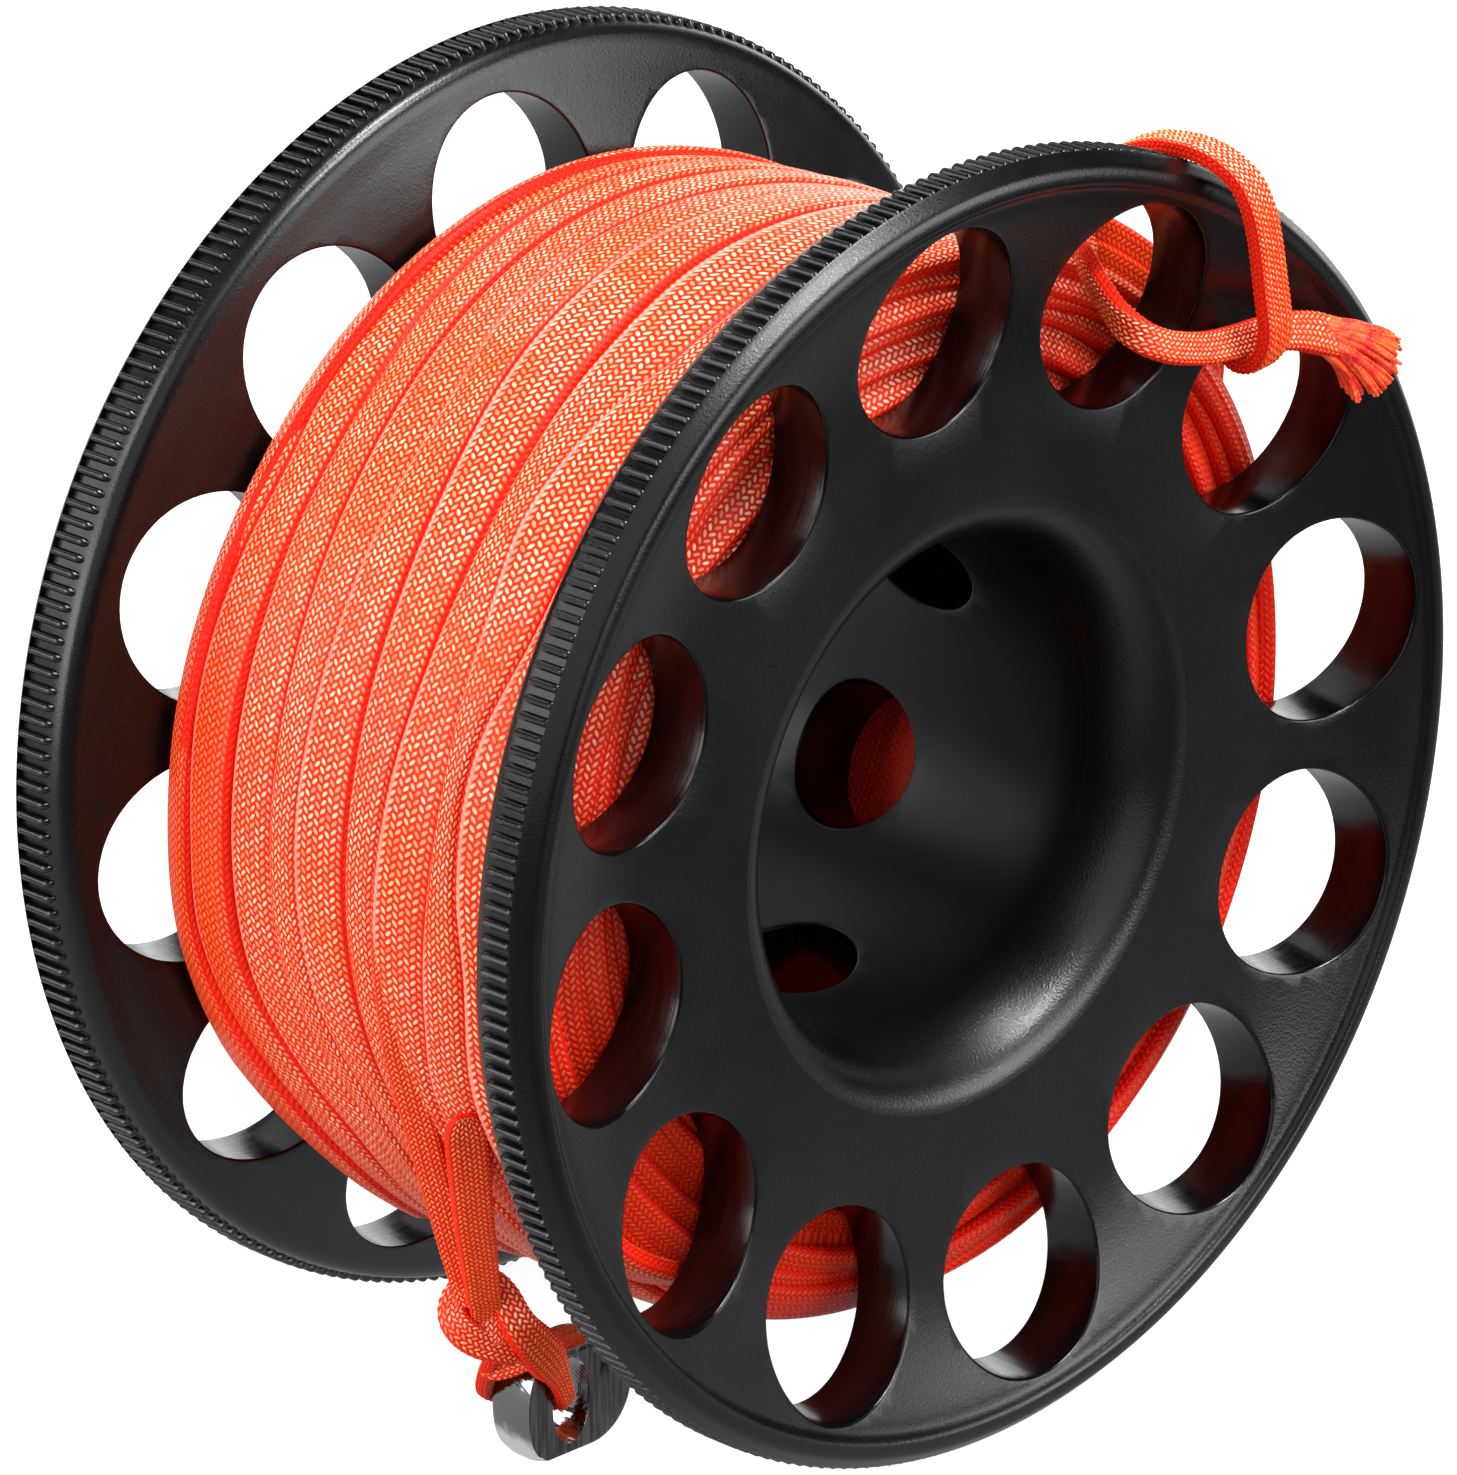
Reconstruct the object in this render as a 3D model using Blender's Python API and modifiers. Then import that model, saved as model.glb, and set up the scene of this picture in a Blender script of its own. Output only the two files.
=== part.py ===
"""Finger spool: two drilled and toothed flanges on a flared hub, wound with flat braided line.

The spool's centre is the world origin and its axis runs along Y. The near flange is at -Y.
Lengths are in metres and angles in degrees. Run with: blender --background --python part.py
"""
import math

import bmesh
import bpy
from mathutils import Matrix, Vector

OBJECT_NAME = "finger_spool"

# Clearances and cutting
joint_gap = 0.0003
cut_overrun = 0.002

# Hub
bore_radius = 0.016
mouth_fillet = 0.0040
hub_shoulder_step = 0.0015
mouth_steps = 5
hub_hole_radius = 0.0049
hub_hole_rows = 2
hub_hole_row_y = 0.0030
hub_hole_row_shift = 0.0010
hub_hole_count = 6
hub_hole_first_angle = -25.0

# Flange, from the hub's mouth out to the tooth tips
hub_ring_width = 0.00597
hole_count = 12
hole_radius = 0.0068
hole_first_angle = 7.5
hole_rim_gap = 0.00003
lip_edge_width = 0.0009
lip_ring_width = 0.00085
lip_round_width = 0.00115
outer_flat_width = 0.0071
inner_flat_width = 0.0086
shoulder_width = 0.0009

# Flange, from the winding outwards along the axis
inner_flat_y = 0.0153
web_thickness = 0.0046
outer_dish_depth = 0.0027
lip_height = 0.0004
lip_edge_drop = 0.0002
lip_round_height = 0.0005
inner_dish_depth = 0.0025
shoulder_rise = 0.0006
band_rise = 0.0009
dish_steps = 4

# Winding
winding_tube_radius = 0.0015
winding_height = 0.0125
winding_side_gap = 0.0009
winding_gap = 0.00047
winding_points_per_turn = 24
winding_first_angle = 40.0

# Sizes that follow from the ones above
spigot_radius = bore_radius + mouth_fillet
hub_shoulder_radius = spigot_radius + hub_shoulder_step
hole_circle_radius = spigot_radius + hub_ring_width + hole_radius
dish_top_radius = hole_circle_radius + hole_radius + hole_rim_gap
lip_inner_radius = dish_top_radius + lip_edge_width
lip_outer_radius = lip_inner_radius + lip_ring_width
flange_radius = lip_outer_radius + lip_round_width
outer_flat_radius = spigot_radius + outer_flat_width
inner_flat_radius = spigot_radius + inner_flat_width
shoulder_radius = flange_radius - shoulder_width
outer_flat_y = inner_flat_y + web_thickness
dish_top_y = outer_flat_y + outer_dish_depth
lip_y = dish_top_y + lip_height
band_outer_y = lip_y - lip_round_height
inner_dish_y = inner_flat_y + inner_dish_depth
shoulder_y = inner_dish_y + shoulder_rise
band_inner_y = shoulder_y + band_rise
winding_centre_radius = hub_shoulder_radius + winding_height
winding_pitch = 2 * winding_tube_radius + winding_gap
winding_half_width = inner_flat_y - winding_side_gap - winding_tube_radius
winding_turns = 2 * winding_half_width / winding_pitch

# Free line
line_tube_radius = 0.0008
line_points = 22
frayed_length = 0.0046
frayed_end_radius = 0.0020

# Knot, seen along the camera's level direction
knot_centre = Vector((-0.0289, -0.0063, -0.0306))
knot_half_width = 0.0031
knot_half_depth = 0.0024
knot_half_height = 0.0028
knot_turn = -45.5

# Line weight, a round bar end with two flats and an eye
weight_base = Vector((-0.0242, -0.0045, -0.0378))
weight_radius = 0.0039
weight_dome = 0.0015
weight_dome_edge = 0.0003
weight_barrel = 0.0042
weight_nose = 0.0039
weight_flat_half = 0.00165
weight_eye_offset = 0.0024
weight_eye_half_width = 0.0016
weight_eye_half_height = 0.00295
weight_arc_steps = 7

# Segment counts
flange_segments = 72
hole_segments = 24
hub_segments = 60
core_segments = 48
weight_segments = 32

# The cords' own routes, chosen by hand from the photograph
bight_route = (
    (0.0150, -0.0136, 0.0325),
    (0.0158, -0.0138, 0.0342),
    (0.0166, -0.0144, 0.0360),
    (0.0173, -0.0154, 0.0376),
    (0.0178, -0.0170, 0.0389),
    (0.0180, -0.0188, 0.0396),
    (0.0180, -0.0208, 0.0399),
    (0.0179, -0.0226, 0.0399),
    (0.0180, -0.0242, 0.0394),
    (0.0184, -0.0255, 0.0382),
    (0.0189, -0.0261, 0.0364),
    (0.0194, -0.0262, 0.0345),
    (0.0198, -0.0262, 0.0325),
    (0.0201, -0.0262, 0.0307),
    (0.0204, -0.0262, 0.0289),
    (0.0206, -0.0262, 0.0273),
    (0.0207, -0.0258, 0.0258),
    (0.0209, -0.0247, 0.0247),
    (0.0211, -0.0233, 0.0245),
    (0.0211, -0.0221, 0.0253),
    (0.0208, -0.0219, 0.0268),
)
tail_route = (
    (0.0139, -0.0162, 0.0333),
    (0.0129, -0.0170, 0.0326),
    (0.0122, -0.0184, 0.0318),
    (0.0115, -0.0202, 0.0308),
    (0.0111, -0.0220, 0.0298),
    (0.0115, -0.0234, 0.0290),
    (0.0130, -0.0240, 0.0282),
    (0.0150, -0.0240, 0.0276),
    (0.0170, -0.0240, 0.0272),
    (0.0195, -0.0240, 0.0270),
    (0.0215, -0.0240, 0.0269),
    (0.0235, -0.0240, 0.0267),
    (0.0251, -0.0241, 0.0264),
    (0.0267, -0.0243, 0.0259),
    (0.0281, -0.0246, 0.0252),
    (0.0295, -0.0249, 0.0244),
)
leader_route = (
    (-0.0366, -0.0043, 0.0035),
    (-0.0368, -0.0046, 0.0003),
    (-0.0367, -0.0048, -0.0030),
    (-0.0362, -0.0050, -0.0063),
    (-0.0355, -0.0051, -0.0096),
    (-0.0346, -0.0052, -0.0128),
    (-0.0337, -0.0053, -0.0159),
    (-0.0328, -0.0053, -0.0189),
    (-0.0320, -0.0054, -0.0217),
    (-0.0312, -0.0054, -0.0243),
    (-0.0305, -0.0054, -0.0264),
    (-0.0302, -0.0054, -0.0274),
)
tag_route = (
    (-0.0350, -0.0104, -0.0131),
    (-0.0345, -0.0100, -0.0147),
    (-0.0339, -0.0096, -0.0168),
    (-0.0332, -0.0091, -0.0193),
    (-0.0325, -0.0086, -0.0218),
    (-0.0317, -0.0081, -0.0243),
    (-0.0311, -0.0077, -0.0262),
    (-0.0308, -0.0075, -0.0273),
)
loop_route = (
    (-0.0265, -0.0077, -0.0330),
    (-0.0258, -0.0078, -0.0338),
    (-0.0249, -0.0078, -0.0348),
    (-0.0240, -0.0077, -0.0358),
    (-0.0231, -0.0075, -0.0369),
    (-0.0224, -0.0069, -0.0377),
    (-0.0221, -0.0060, -0.0380),
    (-0.0221, -0.0045, -0.0380),
    (-0.0221, -0.0030, -0.0380),
    (-0.0225, -0.0020, -0.0377),
    (-0.0236, -0.0016, -0.0371),
    (-0.0249, -0.0016, -0.0365),
    (-0.0260, -0.0019, -0.0357),
    (-0.0270, -0.0026, -0.0347),
    (-0.0278, -0.0036, -0.0338),
    (-0.0283, -0.0043, -0.0333),
)


def clear_scene():
    for obj in list(bpy.data.objects):
        bpy.data.objects.remove(obj, do_unlink=True)
    for collection in list(bpy.data.collections):
        bpy.data.collections.remove(collection)


def make_collections():
    """Make the collection that holds the nodes and the one that holds the cutters."""
    parts = bpy.data.collections.new(OBJECT_NAME)
    cutters = bpy.data.collections.new("cutters")
    bpy.context.scene.collection.children.link(parts)
    bpy.context.scene.collection.children.link(cutters)
    return parts, cutters


def make_material(name, colour, metallic, roughness):
    material = bpy.data.materials.new(name)
    material.use_nodes = True
    shader = material.node_tree.nodes["Principled BSDF"]
    shader.inputs["Base Color"].default_value = (*colour, 1)
    shader.inputs["Metallic"].default_value = metallic
    shader.inputs["Roughness"].default_value = roughness
    return material


def anodised(name):
    return make_material(name, (0.018, 0.018, 0.020), 0.85, 0.42)


def braid(name):
    return make_material(name, (0.88, 0.07, 0.02), 0, 0.62)


def steel(name):
    return make_material(name, (0.62, 0.61, 0.60), 1, 0.22)


def link_object(obj, collection, material=None):
    collection.objects.link(obj)
    if material:
        obj.data.materials.clear()
        obj.data.materials.append(material)
    return obj


def apply_modifiers(obj):
    """Replace the object's data by the mesh that its modifiers make of it."""
    graph = bpy.context.evaluated_depsgraph_get()
    mesh = bpy.data.meshes.new_from_object(obj.evaluated_get(graph))
    mesh.name = obj.name
    obj.modifiers.clear()
    obj.data = mesh


def face_out(obj, merge_distance):
    """Merge doubles and turn every face outwards."""
    mesh = bmesh.new()
    mesh.from_mesh(obj.data)
    bmesh.ops.remove_doubles(mesh, verts=mesh.verts, dist=merge_distance)
    bmesh.ops.recalc_face_normals(mesh, faces=mesh.faces)
    mesh.to_mesh(obj.data)
    mesh.free()


def arc_points(centre, radii, first, last, steps):
    """Give points on an ellipse's arc, as (radius, height), from the first angle to the last."""
    points = []
    for step in range(steps + 1):
        angle = math.radians(first + (last - first) * step / steps)
        radius = centre[0] + radii[0] * math.cos(angle)
        height = centre[1] + radii[1] * math.sin(angle)
        points.append((radius, height))
    return points


def turned(name, outline, closed, segments, collection, material):
    """Turn an outline of (radius, height) points about the local Z axis."""
    mesh = bpy.data.meshes.new(name)
    builder = bmesh.new()
    corners = [builder.verts.new((radius, 0, height)) for radius, height in outline]
    for first, second in zip(corners, corners[1:]):
        builder.edges.new((first, second))
    if closed:
        builder.edges.new((corners[-1], corners[0]))
    builder.to_mesh(mesh)
    builder.free()
    obj = link_object(bpy.data.objects.new(name, mesh), collection)
    screw = obj.modifiers.new("turn", "SCREW")
    screw.axis = "Z"
    screw.steps = segments
    screw.render_steps = segments
    screw.use_merge_vertices = True
    screw.merge_threshold = joint_gap / 10
    screw.use_normal_calculate = True
    apply_modifiers(obj)
    face_out(obj, joint_gap / 10)
    obj.data.materials.clear()
    obj.data.materials.append(material)
    return obj


def cylinder_cutter(name, radius, depth, matrices, segments, cutters):
    """Make one cutter of equal cylinders, one for each matrix."""
    builder = bmesh.new()
    for matrix in matrices:
        bmesh.ops.create_cone(
            builder, cap_ends=True, segments=segments,
            radius1=radius, radius2=radius, depth=depth, matrix=matrix)
    mesh = bpy.data.meshes.new(name)
    builder.to_mesh(mesh)
    builder.free()
    cutter = link_object(bpy.data.objects.new(name, mesh), cutters)
    cutter.hide_render = True
    cutter.display_type = "WIRE"
    return cutter


def cut(obj, cutter):
    boolean = obj.modifiers.new("cut", "BOOLEAN")
    boolean.operation = "DIFFERENCE"
    boolean.solver = "EXACT"
    boolean.object = cutter
    apply_modifiers(obj)


def smooth_route(route, count):
    """Read evenly spaced points from a smooth curve through the route's own points."""
    dense = []
    for index in range(len(route) - 1):
        before = Vector(route[max(index - 1, 0)])
        first = Vector(route[index])
        second = Vector(route[index + 1])
        after = Vector(route[min(index + 2, len(route) - 1)])
        leaving = (second - before) / 2
        arriving = (after - first) / 2
        for step in range(8):
            share = step / 8
            square = share * share
            cube = square * share
            dense.append(
                first * (2 * cube - 3 * square + 1) + leaving * (cube - 2 * square + share)
                + second * (3 * square - 2 * cube) + arriving * (cube - square))
    dense.append(Vector(route[-1]))
    reach = [0]
    for first, second in zip(dense, dense[1:]):
        reach.append(reach[-1] + (second - first).length)
    points = []
    for number in range(count):
        target = reach[-1] * number / (count - 1)
        index = 0
        while index < len(reach) - 2 and reach[index + 1] < target:
            index += 1
        share = (target - reach[index]) / (reach[index + 1] - reach[index])
        points.append(dense[index].lerp(dense[index + 1], min(share, 1)))
    return points


def tube(name, points, radius, resolution, collection, material):
    """Make a closed tube along the points."""
    curve = bpy.data.curves.new(name, "CURVE")
    curve.dimensions = "3D"
    curve.bevel_depth = radius
    curve.bevel_resolution = resolution
    curve.use_fill_caps = True
    spline = curve.splines.new("POLY")
    spline.points.add(len(points) - 1)
    for point, place in zip(spline.points, points):
        point.co = (*place, 1)
    drawn = link_object(bpy.data.objects.new(name + "_curve", curve), collection)
    graph = bpy.context.evaluated_depsgraph_get()
    mesh = bpy.data.meshes.new_from_object(drawn.evaluated_get(graph))
    bpy.data.objects.remove(drawn, do_unlink=True)
    obj = link_object(bpy.data.objects.new(name, mesh), collection, material)
    mesh.name = name
    face_out(obj, joint_gap / 10)
    return obj


def dish(inner_radius, inner_height, outer_radius, outer_height):
    """Give the points of a dished face that is flat at its inner radius."""
    points = []
    for step in range(dish_steps + 1):
        share = step / dish_steps
        radius = inner_radius + (outer_radius - inner_radius) * share
        height = inner_height + (outer_height - inner_height) * share * share
        points.append((radius, height))
    return points


def flange_outline():
    """Give the flange's closed outline, from the lip down the rim, in and back up the bore."""
    outline = [(lip_outer_radius, lip_y)]
    outline += arc_points(
        (lip_outer_radius, band_outer_y),
        (flange_radius - lip_outer_radius, lip_y - band_outer_y), 60, 0, 2)
    outline.append((flange_radius, band_inner_y))
    outline.append((shoulder_radius, shoulder_y))
    outline += reversed(dish(inner_flat_radius, inner_flat_y, dish_top_radius, inner_dish_y))
    outline.append((spigot_radius + joint_gap, inner_flat_y))
    outline.append((spigot_radius + joint_gap, outer_flat_y))
    outline += dish(outer_flat_radius, outer_flat_y, dish_top_radius, dish_top_y)
    outline.append((dish_top_radius + lip_edge_drop, lip_y - lip_edge_drop))
    outline.append((lip_inner_radius, lip_y))
    return outline


def hole_matrices():
    """Place the flange's holes, as turns about the local Z axis."""
    matrices = []
    for number in range(hole_count):
        angle = math.radians(hole_first_angle + 360 * number / hole_count)
        place = Vector((hole_circle_radius * math.cos(angle), 0, hole_circle_radius * math.sin(angle)))
        matrices.append(Matrix.Translation(place) @ Matrix.Rotation(math.radians(90), 4, "X"))
    return matrices


def make_flange(name, side, parts, cutters):
    """Make one flange: side is -1 for the near one and 1 for the far one."""
    flange = turned(name, flange_outline(), True, flange_segments, parts, anodised(name + "_black"))
    flange.data.transform(Matrix.Rotation(math.radians(-90 * side), 4, "X"))
    depth = 2 * (lip_y + cut_overrun)
    cutter = cylinder_cutter(
        name + "_holes", hole_radius, depth, hole_matrices(), hole_segments, cutters)
    cut(flange, cutter)
    return flange


def hub_outline():
    """Give the hub's closed outline: spigots, shoulders, and a bore with flared mouths."""
    shoulder_y_hub = inner_flat_y - joint_gap
    fillet_centre_y = outer_flat_y - mouth_fillet
    outline = [
        (spigot_radius, outer_flat_y),
        (spigot_radius, shoulder_y_hub),
        (hub_shoulder_radius, shoulder_y_hub),
        (hub_shoulder_radius, -shoulder_y_hub),
        (spigot_radius, -shoulder_y_hub),
        (spigot_radius, -outer_flat_y),
    ]
    lower = arc_points((spigot_radius, -fillet_centre_y), (mouth_fillet, mouth_fillet), 270, 180, mouth_steps)
    upper = arc_points((spigot_radius, fillet_centre_y), (mouth_fillet, mouth_fillet), 180, 90, mouth_steps)
    outline += lower[1:]
    outline += upper[:-1]
    return outline


def make_hub(parts, cutters):
    hub = turned("hub_barrel", hub_outline(), True, hub_segments, parts, anodised("hub_black"))
    hub.data.transform(Matrix.Rotation(math.radians(90), 4, "X"))
    matrices = []
    middle_radius = (bore_radius + hub_shoulder_radius) / 2
    for number in range(hub_hole_count):
        angle = hub_hole_first_angle + 360 * number / hub_hole_count
        row = 1 - 2 * (number % hub_hole_rows)
        turn = Matrix.Rotation(math.radians(-angle), 4, "Y")
        place = Vector((middle_radius, row * hub_hole_row_y + hub_hole_row_shift, 0))
        matrices.append(turn @ Matrix.Translation(place) @ Matrix.Rotation(math.radians(90), 4, "Y"))
    depth = hub_shoulder_radius - bore_radius + 2 * cut_overrun
    cutter = cylinder_cutter("hub_holes", hub_hole_radius, depth, matrices, hole_segments, cutters)
    cut(hub, cutter)
    return hub


def make_core(parts):
    """Make the hidden inner layers of line as one plain ring."""
    chord_drop = winding_centre_radius * (1 - math.cos(math.pi / winding_points_per_turn))
    outer = winding_centre_radius - winding_tube_radius - chord_drop - joint_gap
    inner = hub_shoulder_radius + joint_gap
    half = inner_flat_y - joint_gap
    outline = [(outer, half), (outer, -half), (inner, -half), (inner, half)]
    core = turned("line_core", outline, True, core_segments, parts, braid("core_red"))
    core.data.transform(Matrix.Rotation(math.radians(90), 4, "X"))
    return core


def winding_points():
    """Give the outer layer's centreline: one helix with a straight run at each end."""
    count = round(winding_turns * winding_points_per_turn)
    points = []
    for step in range(count + 1):
        angle = math.radians(winding_first_angle - 360 * step / winding_points_per_turn)
        along = winding_half_width * (2 * step / count - 1)
        points.append(Vector((
            winding_centre_radius * math.cos(angle), along, winding_centre_radius * math.sin(angle))))
    run = 2 * winding_tube_radius
    first = points[0] + (points[0] - points[1]).normalized() * run
    last = points[-1] + (points[-1] - points[-2]).normalized() * run
    return [first] + points + [last]


def least_gap(points, radius):
    """Give the least gap between the turns of a tube, measured on its own points."""
    least = None
    skip = winding_points_per_turn // 2
    for first in range(len(points)):
        for second in range(first + skip, len(points)):
            gap = (points[first] - points[second]).length - 2 * radius
            if least is None or gap < least:
                least = gap
    return least


def make_winding(parts):
    points = winding_points()
    print("least gap between the turns:", round(least_gap(points, winding_tube_radius), 6))
    return tube("line_winding", points, winding_tube_radius, 1, parts, braid("winding_red"))


def make_line(name, route, parts):
    points = smooth_route(route, line_points)
    return tube(name, points, line_tube_radius, 2, parts, braid(name + "_red"))


def make_frayed_end(parts):
    """Make the burst end of the tail as a short flared plug."""
    points = smooth_route(tail_route, line_points)
    direction = (points[-1] - points[-2]).normalized()
    middle = points[-1] + direction * (joint_gap + frayed_length / 2)
    turn = Vector((0, 0, 1)).rotation_difference(direction).to_matrix().to_4x4()
    builder = bmesh.new()
    bmesh.ops.create_cone(
        builder, cap_ends=True, segments=12, radius1=line_tube_radius,
        radius2=frayed_end_radius, depth=frayed_length, matrix=Matrix.Translation(middle) @ turn)
    mesh = bpy.data.meshes.new("frayed_end")
    builder.to_mesh(mesh)
    builder.free()
    return link_object(bpy.data.objects.new("frayed_end", mesh), parts, braid("frayed_red"))


def make_knot(parts):
    builder = bmesh.new()
    shape = Matrix.Diagonal((knot_half_width, knot_half_depth, knot_half_height, 1))
    turn = Matrix.Rotation(math.radians(knot_turn), 4, "Z")
    bmesh.ops.create_uvsphere(
        builder, u_segments=20, v_segments=12, radius=1,
        matrix=Matrix.Translation(knot_centre) @ turn @ shape)
    mesh = bpy.data.meshes.new("end_knot")
    builder.to_mesh(mesh)
    builder.free()
    return link_object(bpy.data.objects.new("end_knot", mesh), parts, braid("knot_red"))


def weight_outline():
    """Give the weight's outline from the tip of its nose to the middle of its domed end."""
    nose = arc_points((0, weight_barrel), (weight_radius, weight_nose), 90, 0, weight_arc_steps)
    dome = arc_points(
        (0, 0), (weight_radius - weight_dome_edge, weight_dome), 0, -90, weight_arc_steps)
    outline = [(0, nose[0][1])] + nose[1:]
    outline.append((weight_radius, weight_dome_edge))
    outline += dome[:-1]
    outline.append((0, dome[-1][1]))
    return outline


def make_weight(parts, cutters):
    weight = turned("line_weight", weight_outline(), False, weight_segments, parts, steel("weight_steel"))
    weight.data.transform(Matrix.Rotation(math.radians(90), 4, "Y"))
    weight.data.transform(Matrix.Translation(weight_base))
    length = weight_barrel + weight_nose + weight_dome
    block = 2 * weight_radius
    builder = bmesh.new()
    for side in (-1, 1):
        size = Matrix.Diagonal((length + 2 * cut_overrun, block, block + cut_overrun, 1))
        offset = Vector((weight_barrel / 2, side * (weight_flat_half + block / 2), 0))
        bmesh.ops.create_cube(builder, size=1, matrix=Matrix.Translation(weight_base + offset) @ size)
    mesh = bpy.data.meshes.new("weight_flats")
    builder.to_mesh(mesh)
    builder.free()
    flats = link_object(bpy.data.objects.new("weight_flats", mesh), cutters)
    flats.hide_render = True
    flats.display_type = "WIRE"
    cut(weight, flats)
    eye_place = Matrix.Translation(weight_base + Vector((weight_eye_offset, 0, 0)))
    eye_shape = Matrix.Diagonal((1, 1, weight_eye_half_height / weight_eye_half_width, 1))
    upright = Matrix.Rotation(math.radians(90), 4, "X")
    depth = 2 * (weight_flat_half + cut_overrun)
    eye = cylinder_cutter(
        "weight_eye", weight_eye_half_width, depth, [eye_place @ eye_shape @ upright],
        hole_segments, cutters)
    cut(weight, eye)
    return weight


def main():
    clear_scene()
    parts, cutters = make_collections()
    make_flange("near_flange", -1, parts, cutters)
    make_flange("far_flange", 1, parts, cutters)
    make_hub(parts, cutters)
    make_core(parts)
    make_winding(parts)
    make_line("line_bight", bight_route, parts)
    make_line("line_tail", tail_route, parts)
    make_frayed_end(parts)
    make_line("line_leader", leader_route, parts)
    make_line("tag_end", tag_route, parts)
    make_knot(parts)
    make_line("weight_loop", loop_route, parts)
    make_weight(parts, cutters)


main()
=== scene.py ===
"""Finger spool wound with flat braided line, with its studio, for Blender 4.5.

The spool's centre is the world origin and its axis runs along Y. The near flange is at -Y.
Lengths are in metres and angles in degrees, unless a name or a comment says otherwise.
"""
import math
import random

import bmesh
import bpy
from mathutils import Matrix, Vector


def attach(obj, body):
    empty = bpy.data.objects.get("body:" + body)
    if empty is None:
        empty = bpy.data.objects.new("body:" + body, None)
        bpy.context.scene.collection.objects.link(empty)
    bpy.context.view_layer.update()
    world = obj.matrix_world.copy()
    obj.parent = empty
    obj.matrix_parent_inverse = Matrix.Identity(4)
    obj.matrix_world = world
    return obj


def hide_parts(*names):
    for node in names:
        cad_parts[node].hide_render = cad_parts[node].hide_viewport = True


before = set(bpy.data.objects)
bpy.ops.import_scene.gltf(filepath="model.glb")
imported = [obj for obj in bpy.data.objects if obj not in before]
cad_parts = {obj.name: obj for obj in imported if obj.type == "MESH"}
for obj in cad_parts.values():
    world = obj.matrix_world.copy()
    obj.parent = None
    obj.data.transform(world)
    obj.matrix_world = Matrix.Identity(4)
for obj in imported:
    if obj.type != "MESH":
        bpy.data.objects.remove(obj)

bl_info = {
    "name": "Finger Spool",
    "version": (1, 0, 0),
    "blender": (4, 5, 0),
    "location": "3D View > Sidebar > Finger Spool",
    "description": "Builds a drilled finger spool wound with flat braided line",
    "category": "Object",
}

# Where the camera stands, in degrees and metres
CAMERA_AZIMUTH = -45.47
CAMERA_ELEVATION = 20.66
CAMERA_DISTANCE = 0.65567
CAMERA_LENS = 251.39
AIM_RIGHT = -0.00097
AIM_UP = -0.00052

# The spool's turned profile, as (radius, height from the middle)
OUTER_FACE = (
    (0.0200, 0.0199), (0.0235, 0.0199), (0.0271, 0.0199), (0.0285, 0.01993), (0.0300, 0.02004),
    (0.0315, 0.02023), (0.0330, 0.02050), (0.0345, 0.02085), (0.0360, 0.02127), (0.0375, 0.02177),
    (0.0384, 0.02207), (0.0390, 0.02226), (0.0395, 0.02240), (0.03985, 0.02247),
    (0.04010, 0.02258), (0.04028, 0.02278), (0.04042, 0.02292), (0.04058, 0.02299),
    (0.04078, 0.02301), (0.04104, 0.02299),
)
RIM = (
    (0.04134, 0.02294), (0.04154, 0.02284), (0.04174, 0.02264), (0.04194, 0.02242),
    (0.04214, 0.02220), (0.04229, 0.02204), (0.04238, 0.02190), (0.0420, 0.02184),
    (0.0420, 0.0196), (0.04196, 0.0192), (0.04186, 0.0188), (0.04166, 0.01848), (0.0413, 0.01822),
    (0.0407, 0.01803),
)
INNER_FACE = (
    (0.0400, 0.01790), (0.0392, 0.01764), (0.0380, 0.01728), (0.0365, 0.01684), (0.0350, 0.01645),
    (0.0335, 0.01611), (0.0320, 0.01580), (0.0305, 0.01550), (0.0286, 0.0153), (0.0260, 0.0153),
    (0.0220, 0.0153), (0.0203, 0.0153),
)
# One tooth of the rim, as (radius, height from the middle, share of its width)
TOOTH_LINE = (
    (0.04195, 0.02198, 1.0), (0.04234, 0.02192, 1.0), (0.04246, 0.02180, 1.0),
    (0.0425, 0.02165, 1.0), (0.0425, 0.0215, 1.0), (0.0425, 0.0207, 1.0), (0.0425, 0.0199, 1.0),
    (0.04248, 0.0197, 0.97), (0.04242, 0.01952, 0.86), (0.04228, 0.01938, 0.68),
    (0.04206, 0.01928, 0.45), (0.04180, 0.01922, 0.2),
)

# The free line's routes, chosen from the photograph; the part's source has the same points
BIGHT_ROUTE = (
    (0.0150, -0.0136, 0.0325), (0.0158, -0.0138, 0.0342), (0.0166, -0.0144, 0.0360),
    (0.0173, -0.0154, 0.0376), (0.0178, -0.0170, 0.0389), (0.0180, -0.0188, 0.0396),
    (0.0180, -0.0208, 0.0399), (0.0179, -0.0226, 0.0399), (0.0180, -0.0242, 0.0394),
    (0.0184, -0.0255, 0.0382), (0.0189, -0.0261, 0.0364), (0.0194, -0.0262, 0.0345),
    (0.0198, -0.0262, 0.0325), (0.0201, -0.0262, 0.0307), (0.0204, -0.0262, 0.0289),
    (0.0206, -0.0262, 0.0273), (0.0207, -0.0258, 0.0258), (0.0209, -0.0247, 0.0247),
    (0.0211, -0.0233, 0.0245), (0.0211, -0.0221, 0.0253), (0.0208, -0.0219, 0.0268),
)
TAIL_ROUTE = (
    (0.0139, -0.0162, 0.0333), (0.0129, -0.0170, 0.0326), (0.0122, -0.0184, 0.0318),
    (0.0115, -0.0202, 0.0308), (0.0111, -0.0220, 0.0298), (0.0115, -0.0234, 0.0290),
    (0.0130, -0.0240, 0.0282), (0.0150, -0.0240, 0.0276), (0.0170, -0.0240, 0.0272),
    (0.0195, -0.0240, 0.0270), (0.0215, -0.0240, 0.0269), (0.0235, -0.0240, 0.0267),
    (0.0251, -0.0241, 0.0264), (0.0267, -0.0243, 0.0259), (0.0281, -0.0246, 0.0252),
    (0.0295, -0.0249, 0.0244),
)
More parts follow.
